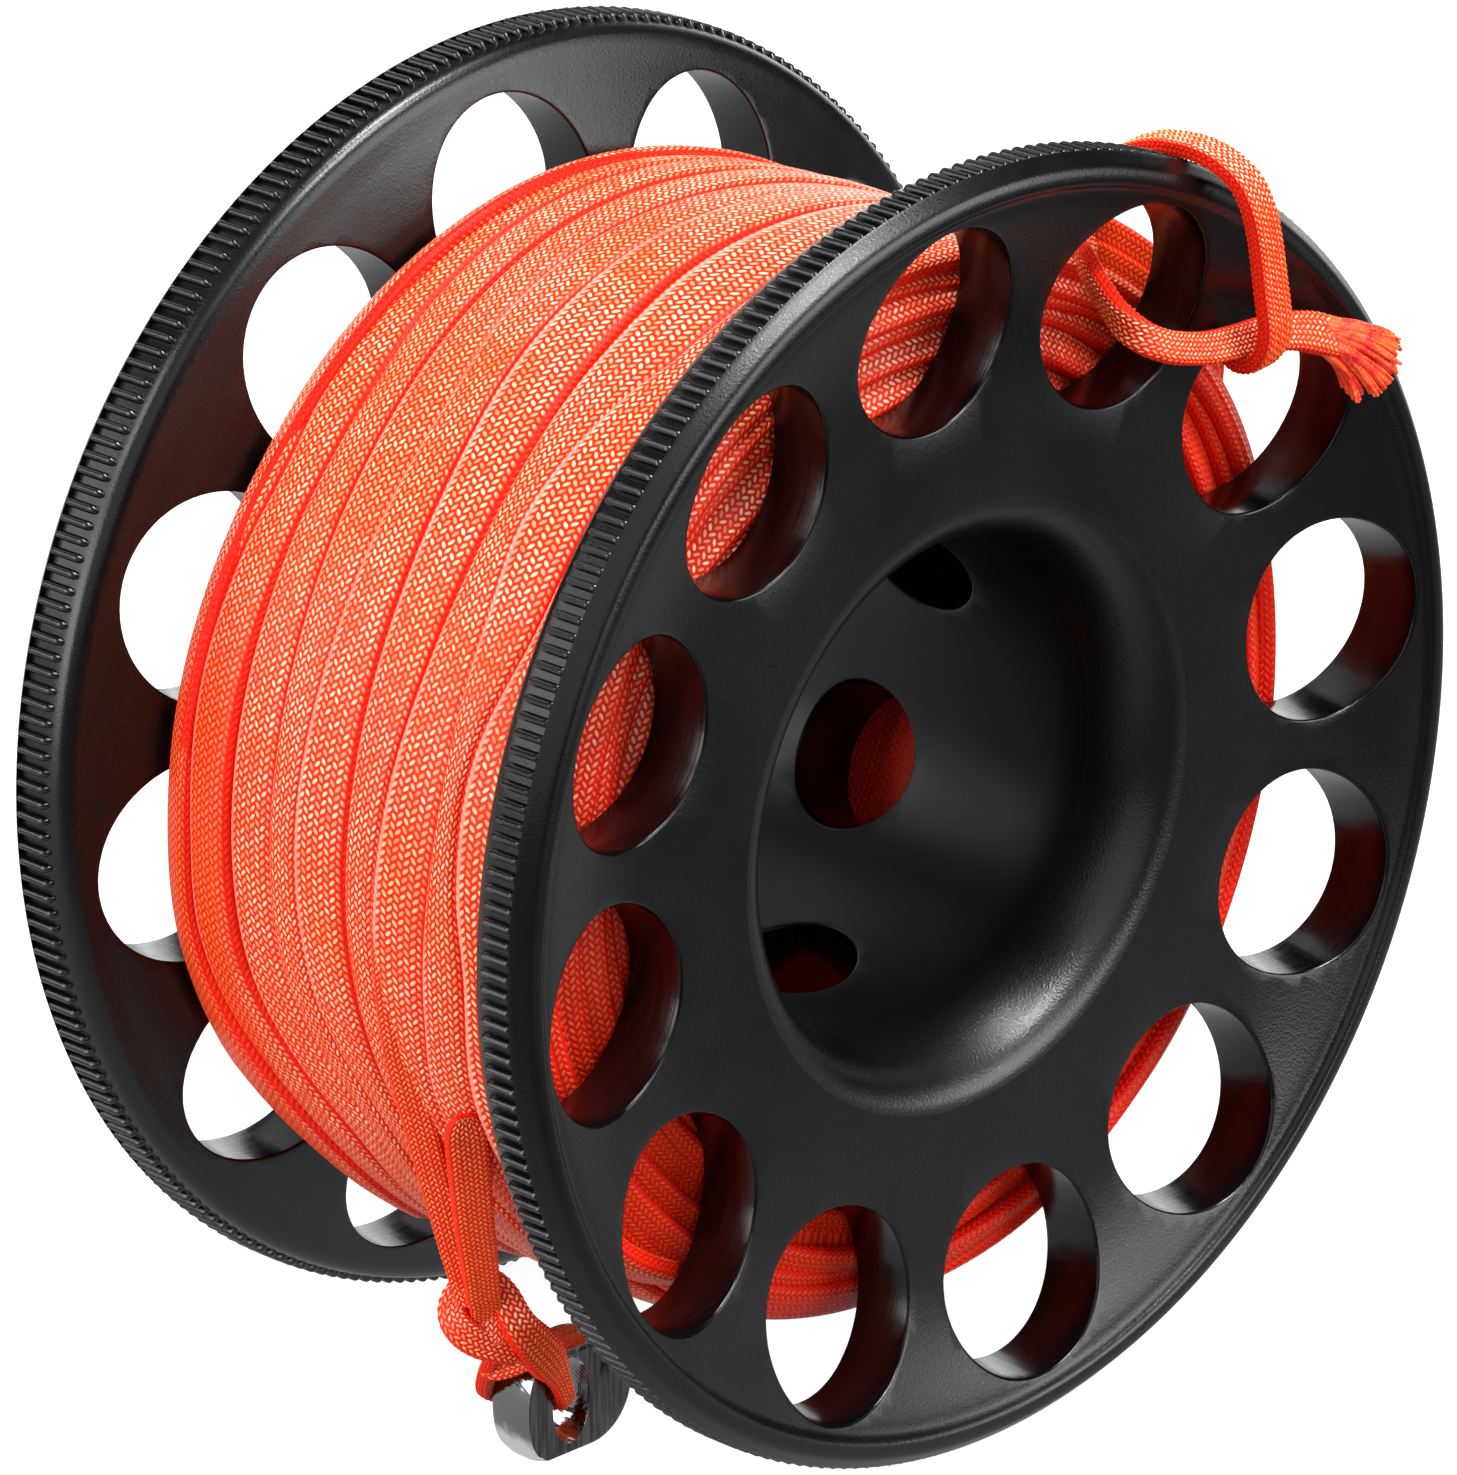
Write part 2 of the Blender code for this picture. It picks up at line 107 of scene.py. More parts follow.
LEADER_ROUTE = (
    (-0.0366, -0.0043, 0.0035), (-0.0368, -0.0046, 0.0003), (-0.0367, -0.0048, -0.0030),
    (-0.0362, -0.0050, -0.0063), (-0.0355, -0.0051, -0.0096), (-0.0346, -0.0052, -0.0128),
    (-0.0337, -0.0053, -0.0159), (-0.0328, -0.0053, -0.0189), (-0.0320, -0.0054, -0.0217),
    (-0.0312, -0.0054, -0.0243), (-0.0305, -0.0054, -0.0264), (-0.0302, -0.0054, -0.0274),
)
TAG_ROUTE = (
    (-0.0350, -0.0104, -0.0131), (-0.0345, -0.0100, -0.0147), (-0.0339, -0.0096, -0.0168),
    (-0.0332, -0.0091, -0.0193), (-0.0325, -0.0086, -0.0218), (-0.0317, -0.0081, -0.0243),
    (-0.0311, -0.0077, -0.0262), (-0.0308, -0.0075, -0.0273),
)

# The spacing of the points that a route is read at, in metres
ROUTE_SPACING = 0.0001

# Heights of the turned spool's outer and inner faces, and the hub's outer radius
PLATE_FACE = 0.0199
PLATE_BACK = 0.0153
HUB_RADIUS = 0.0215

# The most that a wall's vertices may lie off their hole's circle
HOLE_TOLERANCE = 0.00003

# Turns a round cutter along the spool's axis
ALONG_AXIS = (math.radians(90), 0, 0)

# One stitch: its lean, its half width and half length in its own cell, and how round its crest is
STITCH_LEAN = 0.55
STITCH_HALF_WIDTH = 0.50
STITCH_HALF_LENGTH = 0.36
STITCH_ROUNDING = 0.6
# The part of a stitch's relief that counts as level with the line
STITCH_LEVEL = 0.6

# How far the leader lies under the winding's surface, as (number of the route's point, millimetres)
LEADER_SINK = ((0, 1.5), (1, 1.2), (2, 0.8), (3, 0.4), (4, 0.1), (5, 0), (11, 0))
# How far past its route's end the leader runs on into the knot
LEADER_TIP = Vector((0.0003, -0.0003, -0.0013))

# How far the tag end settles back towards the knot, as (number of the route's point, millimetres)
TAG_SINK = ((0, 0), (3, 0), (5, 0.5), (7, 1.2))
# The tag end's last points inside the knot, as offsets in millimetres from its middle
TAG_TIP = ((-0.40, 1.75, 1.2), (-0.35, 1.1, 0.5), (-0.3, 0.4, 0.1))

# How far the bight settles up from its route, as (number of the route's point, millimetres)
BIGHT_LIFT = (
    (0, 0), (2, 0), (4, -0.3), (7, -0.4), (10, -0.1), (13, 0.3), (15, 0.8), (17, 0.9), (19, 0.4),
    (20, -0.5),
)

# Knot, as offsets in millimetres from its middle: right, up and towards the camera
KNOT_MIDDLE = Vector((-0.0289, -0.0063, -0.0306))
KNOT_LEFT_LOBE = (
    (-0.3, 2.7, -0.8), (-1.1, 2.7, -0.5), (-1.9, 2.3, -0.1), (-2.3, 1.5, 0.3), (-2.2, 0.6, 0.6),
    (-1.6, -0.2, 0.7), (-0.7, -0.8, 0.5), (0.4, -1.2, 0.1), (1.4, -1.5, -0.6),
)
LOOP_LINE = (
    (-0.6, 3.0, -0.6), (0.2, 2.7, 0.0), (0.9, 1.9, 0.5), (1.4, 0.9, 0.8), (2.0, -0.1, 0.4),
    (2.7, -1.0, -0.8), (3.4, -1.9, -2.4), (3.9, -2.8, -4.0), (4.3, -3.8, -5.3), (4.5, -4.6, -6.3),
    (4.3, -4.9, -7.3), (3.5, -4.8, -8.3), (2.4, -4.4, -9.3), (1.5, -4.45, -9.4),
    (0.6, -4.5, -8.9), (-0.3, -4.3, -8.0), (-0.5, -3.8, -6.6), (-0.4, -3.2, -5.2),
    (-0.2, -2.5, -3.9), (0.2, -1.6, -2.4),
)

# The winding's outer radius, as (angle, millimetres)
WINDING_SURFACE = (
    (0, 35.4), (35, 35.6), (75, 35.3), (115, 35.15), (150, 36.0), (190, 36.95), (215, 36.8),
    (240, 36.3), (270, 35.7), (320, 35.3), (360, 35.4),
)

# The grooves between the winding's turns, each as (angle, height along the axis in millimetres)
GROOVES = (
    ((0, 15.2), (90, 15.2), (206, 15.2), (211, 14.0), (216, 12.6), (222, 11.2), (232, 11.5),
     (262, 15.2), (360, 15.2)),
    ((0, 11.6), (60, 12.3), (100, 14.2), (126, 13.9), (142, 12.4), (152, 12.9), (165, 13.4),
     (181, 12.9), (191, 13.0), (198, 12.0), (208, 9.3), (218, 7.6), (230, 7.4), (270, 11.0),
     (360, 11.6)),
    ((0, 8.3), (60, 9.2), (100, 10.6), (119, 10.1), (132, 9.1), (150, 9.1), (171, 9.2),
     (190, 8.8), (197, 8.0), (205, 6.2), (213, 4.4), (221, 4.2), (232, 4.6), (270, 7.6),
     (360, 8.3)),
    ((0, 5.0), (60, 5.8), (100, 7.6), (120, 7.3), (140, 6.3), (160, 5.6), (174, 5.3), (186, 5.1),
     (193, 4.5), (200, 3.1), (206, 1.6), (214, 1.2), (230, 1.8), (270, 4.3), (360, 5.0)),
    ((0, 1.7), (60, 2.4), (100, 4.7), (117, 4.6), (129, 3.2), (141, 2.7), (156, 2.6), (177, 3.0),
     (193, 2.2), (199, 1.2), (207, -0.3), (216, -0.8), (230, -0.6), (270, 1.2), (360, 1.7)),
    ((0, -1.7), (60, -0.9), (100, 1.3), (114, 1.2), (125, 0.6), (138, -0.6), (150, -1.2),
     (167, -1.5), (185, -1.6), (200, -2.0), (208, -2.5), (218, -3.0), (230, -3.1), (270, -2.0),
     (360, -1.7)),
    ((0, -5.0), (60, -4.6), (100, -3.4), (118, -4.2), (140, -5.4), (155, -5.3), (171, -4.4),
     (189, -3.9), (206, -4.4), (218, -5.3), (230, -5.8), (270, -5.4), (360, -5.0)),
    ((0, -8.4), (60, -8.6), (100, -9.6), (117, -9.6), (124, -8.6), (139, -7.5), (151, -8.6),
     (171, -9.1), (191, -8.1), (200, -7.2), (210, -7.4), (222, -8.4), (270, -8.7), (360, -8.4)),
    ((0, -11.8), (60, -12.2), (100, -12.8), (125, -12.0), (149, -12.4), (164, -10.7),
     (176, -10.9), (186, -11.6), (200, -10.6), (212, -11.0), (230, -12.0), (270, -12.2),
     (360, -11.8)),
    ((0, -15.0), (360, -15.0)),
)
# The angles between which each turn moves over from the last pair of grooves to its own
HAND_OVER = (236, 292)

# The studio's floor, and its lamps as (name, direction, distance, width, height, power)
FLOOR_HEIGHT = -0.0426
LAMPS = (
    ("key_light", (0.14, -0.52, 0.84), 0.90, 0.32, 0.13, 6.0),
    ("fill_light", (-0.60, -0.62, 0.50), 1.00, 1.00, 1.00, 2.6),
    ("top_light", (0.22, -0.12, 0.97), 0.75, 0.17, 0.17, 5.0),
    ("front_right_light", (0.48, -0.82, 0.24), 0.85, 0.52, 0.52, 4.8),
    ("left_light", (-0.97, 0.16, 0.14), 0.80, 0.46, 0.50, 4.6),
    ("back_left_light", (-0.68, 0.66, 0.32), 0.80, 0.50, 0.36, 1.7),
    ("upper_left_light", (-0.72, 0.22, 0.66), 0.80, 0.24, 0.24, 1.6),
    ("back_top_light", (0.10, 0.66, 0.74), 0.80, 0.50, 0.40, 0.6),
    ("backdrop_light", (0.70, 0.70, 0.16), 0.80, 1.2, 0.36, 3.0),
)


class SpoolSizes(bpy.types.PropertyGroup):
    """Sizes of the turned spool and the weight that a user would change."""

    hole_radius: bpy.props.FloatProperty(
        name="Hole radius", description="Radius of the twelve holes in each flange",
        default=0.0068, unit="LENGTH", subtype="DISTANCE")
    hole_circle: bpy.props.FloatProperty(
        name="Hole circle", description="Radius of the circle that the flange holes lie on",
        default=0.03277, unit="LENGTH", subtype="DISTANCE")
    hole_first_angle: bpy.props.FloatProperty(
        name="First hole", description="Angle of the first flange hole, in degrees", default=7.5)
    edge_break: bpy.props.FloatProperty(
        name="Edge break", description="Radius that the hole edges are rounded to",
        default=0.00017, unit="LENGTH", subtype="DISTANCE")
    tooth_count: bpy.props.IntProperty(
        name="Teeth", description="Number of straight teeth round each rim", default=250)
    tooth_width: bpy.props.FloatProperty(
        name="Tooth width", description="Width of one tooth at its foot",
        default=0.00060, unit="LENGTH", subtype="DISTANCE")
    bore_radius: bpy.props.FloatProperty(
        name="Bore", description="Radius of the finger bore", default=0.016, unit="LENGTH",
        subtype="DISTANCE")
    mouth_radius: bpy.props.FloatProperty(
        name="Mouth fillet", description="Radius of the fillet at each mouth of the bore",
        default=0.004, unit="LENGTH", subtype="DISTANCE")
    mouth_depth: bpy.props.FloatProperty(
        name="Mouth depth", description="How far along the bore each mouth's flare reaches",
        default=0.0078, unit="LENGTH", subtype="DISTANCE")
    hub_hole_radius: bpy.props.FloatProperty(
        name="Hub holes", description="Radius of the six holes through the hub", default=0.0049,
        unit="LENGTH", subtype="DISTANCE")


class LineSizes(bpy.types.PropertyGroup):
    """Sizes of the flat braided line that a user would change."""

    width: bpy.props.FloatProperty(
        name="Line width", description="Width of the flat line where it lies free",
        default=0.0025, unit="LENGTH", subtype="DISTANCE")
    thickness: bpy.props.FloatProperty(
        name="Line thickness", description="Thickness of the flat line",
        default=0.00115, unit="LENGTH", subtype="DISTANCE")
    stitch_width: bpy.props.FloatProperty(
        name="Stitch width", description="Width of one column of stitches", default=0.00039,
        unit="LENGTH", subtype="DISTANCE")
    stitch_length: bpy.props.FloatProperty(
        name="Stitch length", description="Length of one stitch along the line",
        default=0.00054, unit="LENGTH", subtype="DISTANCE")
    stitch_relief: bpy.props.FloatProperty(
        name="Stitch relief", description="How far a stitch stands out of the line",
        default=0.00010, unit="LENGTH", subtype="DISTANCE")
    winding_swell: bpy.props.FloatProperty(
        name="Winding swell", description="Added to the winding's radius all round", default=0,
        unit="LENGTH", subtype="DISTANCE")


class SpoolColours(bpy.types.PropertyGroup):
    """Colours that a user would change."""

    black: bpy.props.FloatVectorProperty(
        name="Anodising", description="Colour of the black anodised aluminium", size=3,
        default=(0.0013, 0.0013, 0.0014), min=0, max=1, subtype="COLOR")
    line: bpy.props.FloatVectorProperty(
        name="Line", description="Colour of the line's stitches", size=3,
        default=(0.90, 0.090, 0.007), min=0, max=1, subtype="COLOR")
    line_deep: bpy.props.FloatVectorProperty(
        name="Line valleys", description="Colour of the line between its stitches", size=3,
        default=(0.82, 0.008, 0.002), min=0, max=1, subtype="COLOR")
    # The crest colour is for crests facing away from the fixed light direction, a painted shade,
    # and the pale fleck colour is for crests facing it, a painted highlight rather than bleaching.
    line_crest: bpy.props.FloatVectorProperty(
        name="Line crests", description="Colour of the stitches' crests in shade", size=3,
        default=(0.95, 0.20, 0.045), min=0, max=1, subtype="COLOR")
    line_fleck_highlight: bpy.props.FloatVectorProperty(
        name="Line flecks", description="Colour of the crests that face up, bleached paler", size=3,
        default=(1.0, 0.74, 0.50), min=0, max=1, subtype="COLOR")
    steel: bpy.props.FloatVectorProperty(
        name="Steel", description="Colour of the weight's stainless steel", size=3,
        default=(0.60, 0.59, 0.58), min=0, max=1, subtype="COLOR")
    floor: bpy.props.FloatVectorProperty(
        name="Floor", description="Colour of the studio floor", size=3,
        default=(0.30, 0.30, 0.30), min=0, max=1, subtype="COLOR")


def spool_sizes():
    return bpy.context.scene.finger_spool_sizes


def line_sizes():
    return bpy.context.scene.finger_spool_line


def colours():
    return bpy.context.scene.finger_spool_colours


def view_axes():
    """Give the camera's forward, right and up directions."""
    azimuth = math.radians(CAMERA_AZIMUTH)
    elevation = math.radians(CAMERA_ELEVATION)
    forward = -Vector((
        math.sin(azimuth) * math.cos(elevation),
        -math.cos(azimuth) * math.cos(elevation),
        math.sin(elevation)))
    right = forward.cross(Vector((0, 0, 1))).normalized()
    return forward, right, right.cross(forward)


# Working on objects by hand

def deselect_all():
    bpy.ops.object.select_all(action="DESELECT")


def work_on(obj):
    deselect_all()
    obj.select_set(True)
    bpy.context.view_layer.objects.active = obj


def name_piece(obj, name):
    obj.name = name
    obj.data.name = name
    return obj


def edit(obj):
    work_on(obj)
    bpy.ops.object.mode_set(mode="EDIT")


def leave_edit():
    bpy.ops.object.mode_set(mode="OBJECT")


def select_only(obj, kind, test):
    """Select the faces or edges that pass the test, and nothing else."""
    bpy.ops.mesh.select_mode(type=kind)
    bpy.ops.mesh.select_all(action="DESELECT")
    mesh = bmesh.from_edit_mesh(obj.data)
    for part in mesh.faces if kind == "FACE" else mesh.edges:
        if test(part):
            part.select_set(True)
    bmesh.update_edit_mesh(obj.data)


def mark_selected(obj, number):
    """Give the selected faces the piece's material of that number."""
    mesh = bmesh.from_edit_mesh(obj.data)
    for face in mesh.faces:
        if face.select:
            face.material_index = number
    bmesh.update_edit_mesh(obj.data)


def weld(distance):
    bpy.ops.mesh.select_all(action="SELECT")
    bpy.ops.mesh.remove_doubles(threshold=distance)


def face_outwards():
    """Turn all faces outwards and leave edit mode."""
    bpy.ops.mesh.select_all(action="SELECT")
    bpy.ops.mesh.normals_make_consistent(inside=False)
    leave_edit()


def round_holes(obj, edge_break, settle):
    """Draw the holes' edges down their walls in three steps of a quarter round.

    settle puts a vertex at a distance inside its hole's circle and a depth under its own face.
    """
    select_only(obj, "EDGE", lambda edge: edge.is_boundary)
    for step in range(4):
        angle = math.radians(30 * step)
        if step:
            bpy.ops.mesh.extrude_edges_move()
        mesh = bmesh.from_edit_mesh(obj.data)
        for vertex in mesh.verts:
            if vertex.select:
                settle(vertex, edge_break * math.sin(angle), edge_break * (1 - math.cos(angle)))
        bmesh.update_edit_mesh(obj.data)


def bridge_holes(obj, holes, belongs):
    """Close each hole's wall between its two edges, one hole at a time."""
    for hole in holes:
        select_only(obj, "EDGE", lambda edge: edge.is_boundary and belongs(
            flat_part((edge.verts[0].co + edge.verts[1].co) / 2), hole))
        bpy.ops.mesh.bridge_edge_loops()
        mark_selected(obj, 1)
    face_outwards()


def apply_modifier(obj, modifier):
    work_on(obj)
    bpy.ops.object.modifier_apply(modifier=modifier.name)


def smooth(obj, angle):
    work_on(obj)
    bpy.ops.object.shade_smooth_by_angle(angle=math.radians(angle))


def join(name, objects):
    work_on(objects[0])
    for obj in objects:
        obj.select_set(True)
    bpy.ops.object.join()
    return name_piece(bpy.context.object, name)


def copy_of(obj, name):
    """Copy an object with its own mesh."""
    work_on(obj)
    bpy.ops.object.duplicate(linked=False)
    return name_piece(bpy.context.object, name)


def place_in_mesh(obj):
    work_on(obj)
    bpy.ops.object.transform_apply(location=True, rotation=True, scale=True)


def finish(obj, body, slot, *materials):
    """Give a piece its materials and its body."""
    places = [polygon.material_index for polygon in obj.data.polygons]
    obj.data.materials.clear()
    for material in materials:
        obj.data.materials.append(material)
    if len(materials) > 1:
        obj.data.polygons.foreach_set("material_index", places)
    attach(obj, body)


def lathe(name, outline, segments, closed=True):
    """Spin an outline of (radius, height along the axis) round the Y axis."""
    deselect_all()
    bpy.ops.mesh.primitive_circle_add(vertices=len(outline), radius=0.01, fill_type="NOTHING")
    obj = name_piece(bpy.context.object, name)
    for vertex, (radius, height) in zip(obj.data.vertices, outline):
        vertex.co = (radius, height, 0)
    edit(obj)
    if not closed:
        ends = {0, len(outline) - 1}
        select_only(obj, "EDGE", lambda edge: {vertex.index for vertex in edge.verts} == ends)
        bpy.ops.mesh.delete(type="EDGE")
    bpy.ops.mesh.select_mode(type="VERT")
    bpy.ops.mesh.select_all(action="SELECT")
    bpy.ops.mesh.spin(steps=segments, angle=2 * math.pi, center=(0, 0, 0), axis=(0, 1, 0))
    weld(0.000002)
    face_outwards()
    return obj


def turns(first, last, step):
    """Give the cosine and sine of every angle of a range, in degrees."""
    return [
        (math.cos(math.radians(angle)), math.sin(math.radians(angle)))
        for angle in range(first, last, step)]


def outward_at(angle):
    """Give the direction away from the axis at an angle in degrees."""
    turned = math.radians(angle)
    return Vector((math.cos(turned), 0, math.sin(turned)))


def flat_part(place):
    """Give a place without its height along the axis."""
    return Vector((place.x, 0, place.z))


def drill(radius, depth, vertices, turn, place):
    """Place a round cutter for one hole."""
    deselect_all()
    bpy.ops.mesh.primitive_cylinder_add(vertices=vertices, radius=radius, depth=depth)
    cutter = bpy.context.object
    cutter.rotation_euler = turn
    cutter.location = place
    place_in_mesh(cutter)
    return cutter


def cut_with(obj, cutter):
    boolean = obj.modifiers.new("cut", "BOOLEAN")
    boolean.operation = "DIFFERENCE"
    boolean.solver = "EXACT"
    boolean.object = cutter
    apply_modifier(obj, boolean)
    bpy.data.objects.remove(cutter, do_unlink=True)


def read_line(points, value):
    """Read the second number at a value of the first, on a line of ascending points."""
    for first, second in zip(points, points[1:]):
        if value <= second[0]:
            share = (value - first[0]) / (second[0] - first[0])
            return first[1] + (second[1] - first[1]) * share
    return points[-1][1]


def hermite(first, second, leaving, arriving, share):
    """Read a curve between two numbers or places from its slopes at both."""
    square = share * share
    cube = square * share
    return (
        first * (2 * cube - 3 * square + 1) + leaving * (cube - 2 * square + share)
        + second * (3 * square - 2 * cube) + arriving * (cube - square))


def soft_step(share):
    """Ease a share in and out."""
    return share * share * (3 - 2 * share)


def ease(points, value):
    """Read a smooth curve through ascending points."""
    for index in range(len(points) - 1):
        first, second = points[index], points[index + 1]
        if value <= second[0]:
            before = points[max(index - 1, 0)]
            after = points[min(index + 2, len(points) - 1)]
            span = second[0] - first[0]
            leaving = (second[1] - before[1]) / (second[0] - before[0]) * span
            arriving = (after[1] - first[1]) / (after[0] - first[0]) * span
            return hermite(first[1], second[1], leaving, arriving, (value - first[0]) / span)
    return points[-1][1]


def smooth_route(route):
    """Read evenly spaced points from a smooth curve through the route's own points."""
    route = [Vector(point) for point in route]
    dense = []
    for index in range(len(route) - 1):
        before = route[max(index - 1, 0)]
        first = route[index]
        second = route[index + 1]
        after = route[min(index + 2, len(route) - 1)]
        leaving = (second - before) / 2
        arriving = (after - first) / 2
        dense += [hermite(first, second, leaving, arriving, step / 16) for step in range(16)]
    dense.append(route[-1])
    reach = [0]
    for first, second in zip(dense, dense[1:]):
        reach.append(reach[-1] + (second - first).length)
    count = max(2, round(reach[-1] / ROUTE_SPACING) + 1)
    points = []
    index = 0
    for number in range(count):
        target = reach[-1] * number / (count - 1)
        while index < len(reach) - 2 and reach[index + 1] < target:
            index += 1
        share = (target - reach[index]) / (reach[index + 1] - reach[index])
        points.append(dense[index].lerp(dense[index + 1], min(share, 1)))
    return points


def headings(points):
    """Give the direction of travel at every point."""
    last = len(points) - 1
    return [points[min(index + 1, last)] - points[max(index - 1, 0)] for index in range(last + 1)]


def lifted(route, lift):
    """Lift the route's points by the amounts read for their numbers."""
    return [
        Vector(place) + Vector((0, 0, ease(lift, number) / 1000))
        for number, place in enumerate(route)]


def stitch_height(across, along):
    """Give a stitch's relief, 0 to 1, where the columns lean to either side in turn."""
    column = math.floor(across)
    offset = across - column - 0.5
    lean = STITCH_LEAN if column % 2 == 0 else -STITCH_LEAN
    phase = along + lean * offset + 0.5 * (column % 2)
    rise = phase - math.floor(phase) - 0.5
    crest = 1 - (offset / STITCH_HALF_WIDTH) ** 2 - (rise / STITCH_HALF_LENGTH) ** 2
    return max(0, crest) ** STITCH_ROUNDING


def even_section(width, thickness, sides, power):
    """Give a flat rounded section as evenly spaced (across, out) points, and its edge's length."""
    fine = []
    for number in range(sides * 8):
        angle = 2 * math.pi * number / (sides * 8)
        cosine, sine = math.cos(angle), math.sin(angle)
        fine.append(Vector((
            width / 2 * math.copysign(abs(cosine) ** (2 / power), cosine),
            thickness / 2 * math.copysign(abs(sine) ** (2 / power), sine))))
    reach = [0]
    for first, second in zip(fine, fine[1:] + fine[:1]):
        reach.append(reach[-1] + (second - first).length)
    points = []
    index = 0
    for number in range(sides):
        target = reach[-1] * number / sides
        while reach[index + 1] < target:
            index += 1
        share = (target - reach[index]) / (reach[index + 1] - reach[index])
        points.append(fine[index].lerp(fine[(index + 1) % len(fine)], share))
    return points, reach[-1]


def sweep(
        name, points, facing, widths, thicknesses, sides, relief=0, power=4, closed_ends=True,
        fine=1):
    """Sweep the flat section along the points; facing is the flat side's direction at each."""
    sizes = line_sizes()
    stitch_width, stitch_length = sizes.stitch_width * fine, sizes.stitch_length * fine
    mesh = bmesh.new()
    stitches = mesh.loops.layers.uv.new("stitches")
    sides_map = mesh.loops.layers.uv.new("sides")
    rings = []
    places = []
    along = 0
    mean_width = sum(widths) / len(widths)
    mean_thickness = sum(thicknesses) / len(thicknesses)
    middle_shape, edge = even_section(mean_width, mean_thickness, sides, power)
    columns = max(4, 2 * round(edge / stitch_width / 2))
    leaning = []
    for number in range(sides):
        ahead = middle_shape[(number + 1) % sides] - middle_shape[number - 1]
        leaning.append(abs(ahead.y) / ahead.length)
    for index, (place, heading) in enumerate(zip(points, headings(points))):
        tangent = heading.normalized()
        across = tangent.cross(facing[index]).normalized()
        out = across.cross(tangent).normalized()
        if index:
            along += (place - points[index - 1]).length
        shape = even_section(widths[index], thicknesses[index], sides, power)[0]
        ring = []
        for number, spot in enumerate(shape):
            corner = place + across * spot.x + out * spot.y
            if relief:
                ahead = shape[(number + 1) % sides] - shape[number - 1]
                normal = (across * ahead.y - out * ahead.x).normalized()
                height = stitch_height(columns * number / sides, along / stitch_length)
                corner += normal * relief * (height - STITCH_LEVEL)
            ring.append(mesh.verts.new(corner))
        rings.append(ring)
        places.append(along / stitch_length)
    for index in range(len(rings) - 1):
        for number in range(sides):
            following = (number + 1) % sides
            face = mesh.faces.new((
                rings[index][number], rings[index][following],
                rings[index + 1][following], rings[index + 1][number]))
            face.smooth = True
            corners = ((number, 0, 0), (following, 1, 0), (following, 1, 1), (number, 0, 1))
            for loop, (side, over, on) in zip(face.loops, corners):
                loop[stitches].uv = (columns * (number + over) / sides, places[index + on])
                loop[sides_map].uv = (leaning[side], 0.5 + shape[side].x / widths[index])
    if closed_ends:
        for ring, place in ((rings[0], places[0]), (rings[-1], places[-1])):
            face = mesh.faces.new(ring)
            face.smooth = True
            for loop in face.loops:
                loop[stitches].uv = (0.5, place)
                loop[sides_map].uv = (1, 0.5)
    bmesh.ops.recalc_face_normals(mesh, faces=mesh.faces)
    data = bpy.data.meshes.new(name)
    mesh.to_mesh(data)
    mesh.free()
    obj = bpy.data.objects.new(name, data)
    bpy.context.scene.collection.objects.link(obj)
    return obj


def knot_point(offset):
    """Place a point given in millimetres right, up and towards the camera of the knot's middle."""
    forward, right, up = view_axes()
    return KNOT_MIDDLE + (right * offset[0] + up * offset[1] - forward * offset[2]) / 1000


# Materials

def node_material(name):
    material = bpy.data.materials.new(name)
    material.use_nodes = True
    tree = material.node_tree
    return material, tree, tree.nodes["Principled BSDF"]


def link(tree, source, target):
    tree.links.new(source, target)


def maths(tree, operation, first, second=None, clamp=False):
    """Add a Math node; its inputs are sockets or plain numbers."""
    node = tree.nodes.new("ShaderNodeMath")
    node.operation = operation
    node.use_clamp = clamp
    for index, value in enumerate((first, second)):
        if value is None:
            continue
        if isinstance(value, (int, float)):
            node.inputs[index].default_value = value
        else:
            link(tree, value, node.inputs[index])
    return node.outputs[0]


def times(tree, first, second):
    return maths(tree, "MULTIPLY", first, second)


def tinted(colour, *factors):
    """Give a colour, times one factor or one for each channel, for a colour socket."""
    factors = factors * 3 if len(factors) == 1 else factors
    return tuple(channel * factor for channel, factor in zip(colour, factors)) + (1,)


def plain_look(shader, roughness, specular):
    shader.inputs["Roughness"].default_value = roughness
    shader.inputs["Specular IOR Level"].default_value = specular


def object_place(tree):
    """Give the place in the object's own space as its X, Y and Z sockets."""
    coordinates = tree.nodes.new("ShaderNodeTexCoord")
    split = tree.nodes.new("ShaderNodeSeparateXYZ")
    link(tree, coordinates.outputs["Object"], split.inputs["Vector"])
    return split.outputs


def uv_place(tree, layer):
    """Give the place in one of the line's UV maps as its X and Y sockets."""
    chart = tree.nodes.new("ShaderNodeUVMap")
    chart.uv_map = layer
    split = tree.nodes.new("ShaderNodeSeparateXYZ")
    link(tree, chart.outputs["UV"], split.inputs["Vector"])
    return split.outputs["X"], split.outputs["Y"]


def object_noise(tree, scale, detail, stretch=(1, 1, 1)):
    coordinates = tree.nodes.new("ShaderNodeTexCoord")
    mapping = tree.nodes.new("ShaderNodeMapping")
    mapping.inputs["Scale"].default_value = stretch
    link(tree, coordinates.outputs["Object"], mapping.inputs["Vector"])
    noise = tree.nodes.new("ShaderNodeTexNoise")
    noise.inputs["Scale"].default_value = scale
    noise.inputs["Detail"].default_value = detail
    link(tree, mapping.outputs["Vector"], noise.inputs["Vector"])
    return noise.outputs["Fac"]


def mix_colour(tree, factor, first, second):
    """Mix two colours, each a socket or a plain colour."""
    node = tree.nodes.new("ShaderNodeMix")
    node.data_type = "RGBA"
    link(tree, factor, node.inputs["Factor"])
    for socket, value in ((node.inputs["A"], first), (node.inputs["B"], second)):
        if isinstance(value, tuple):
            socket.default_value = value
        else:
            link(tree, value, socket)
    return node.outputs["Result"]


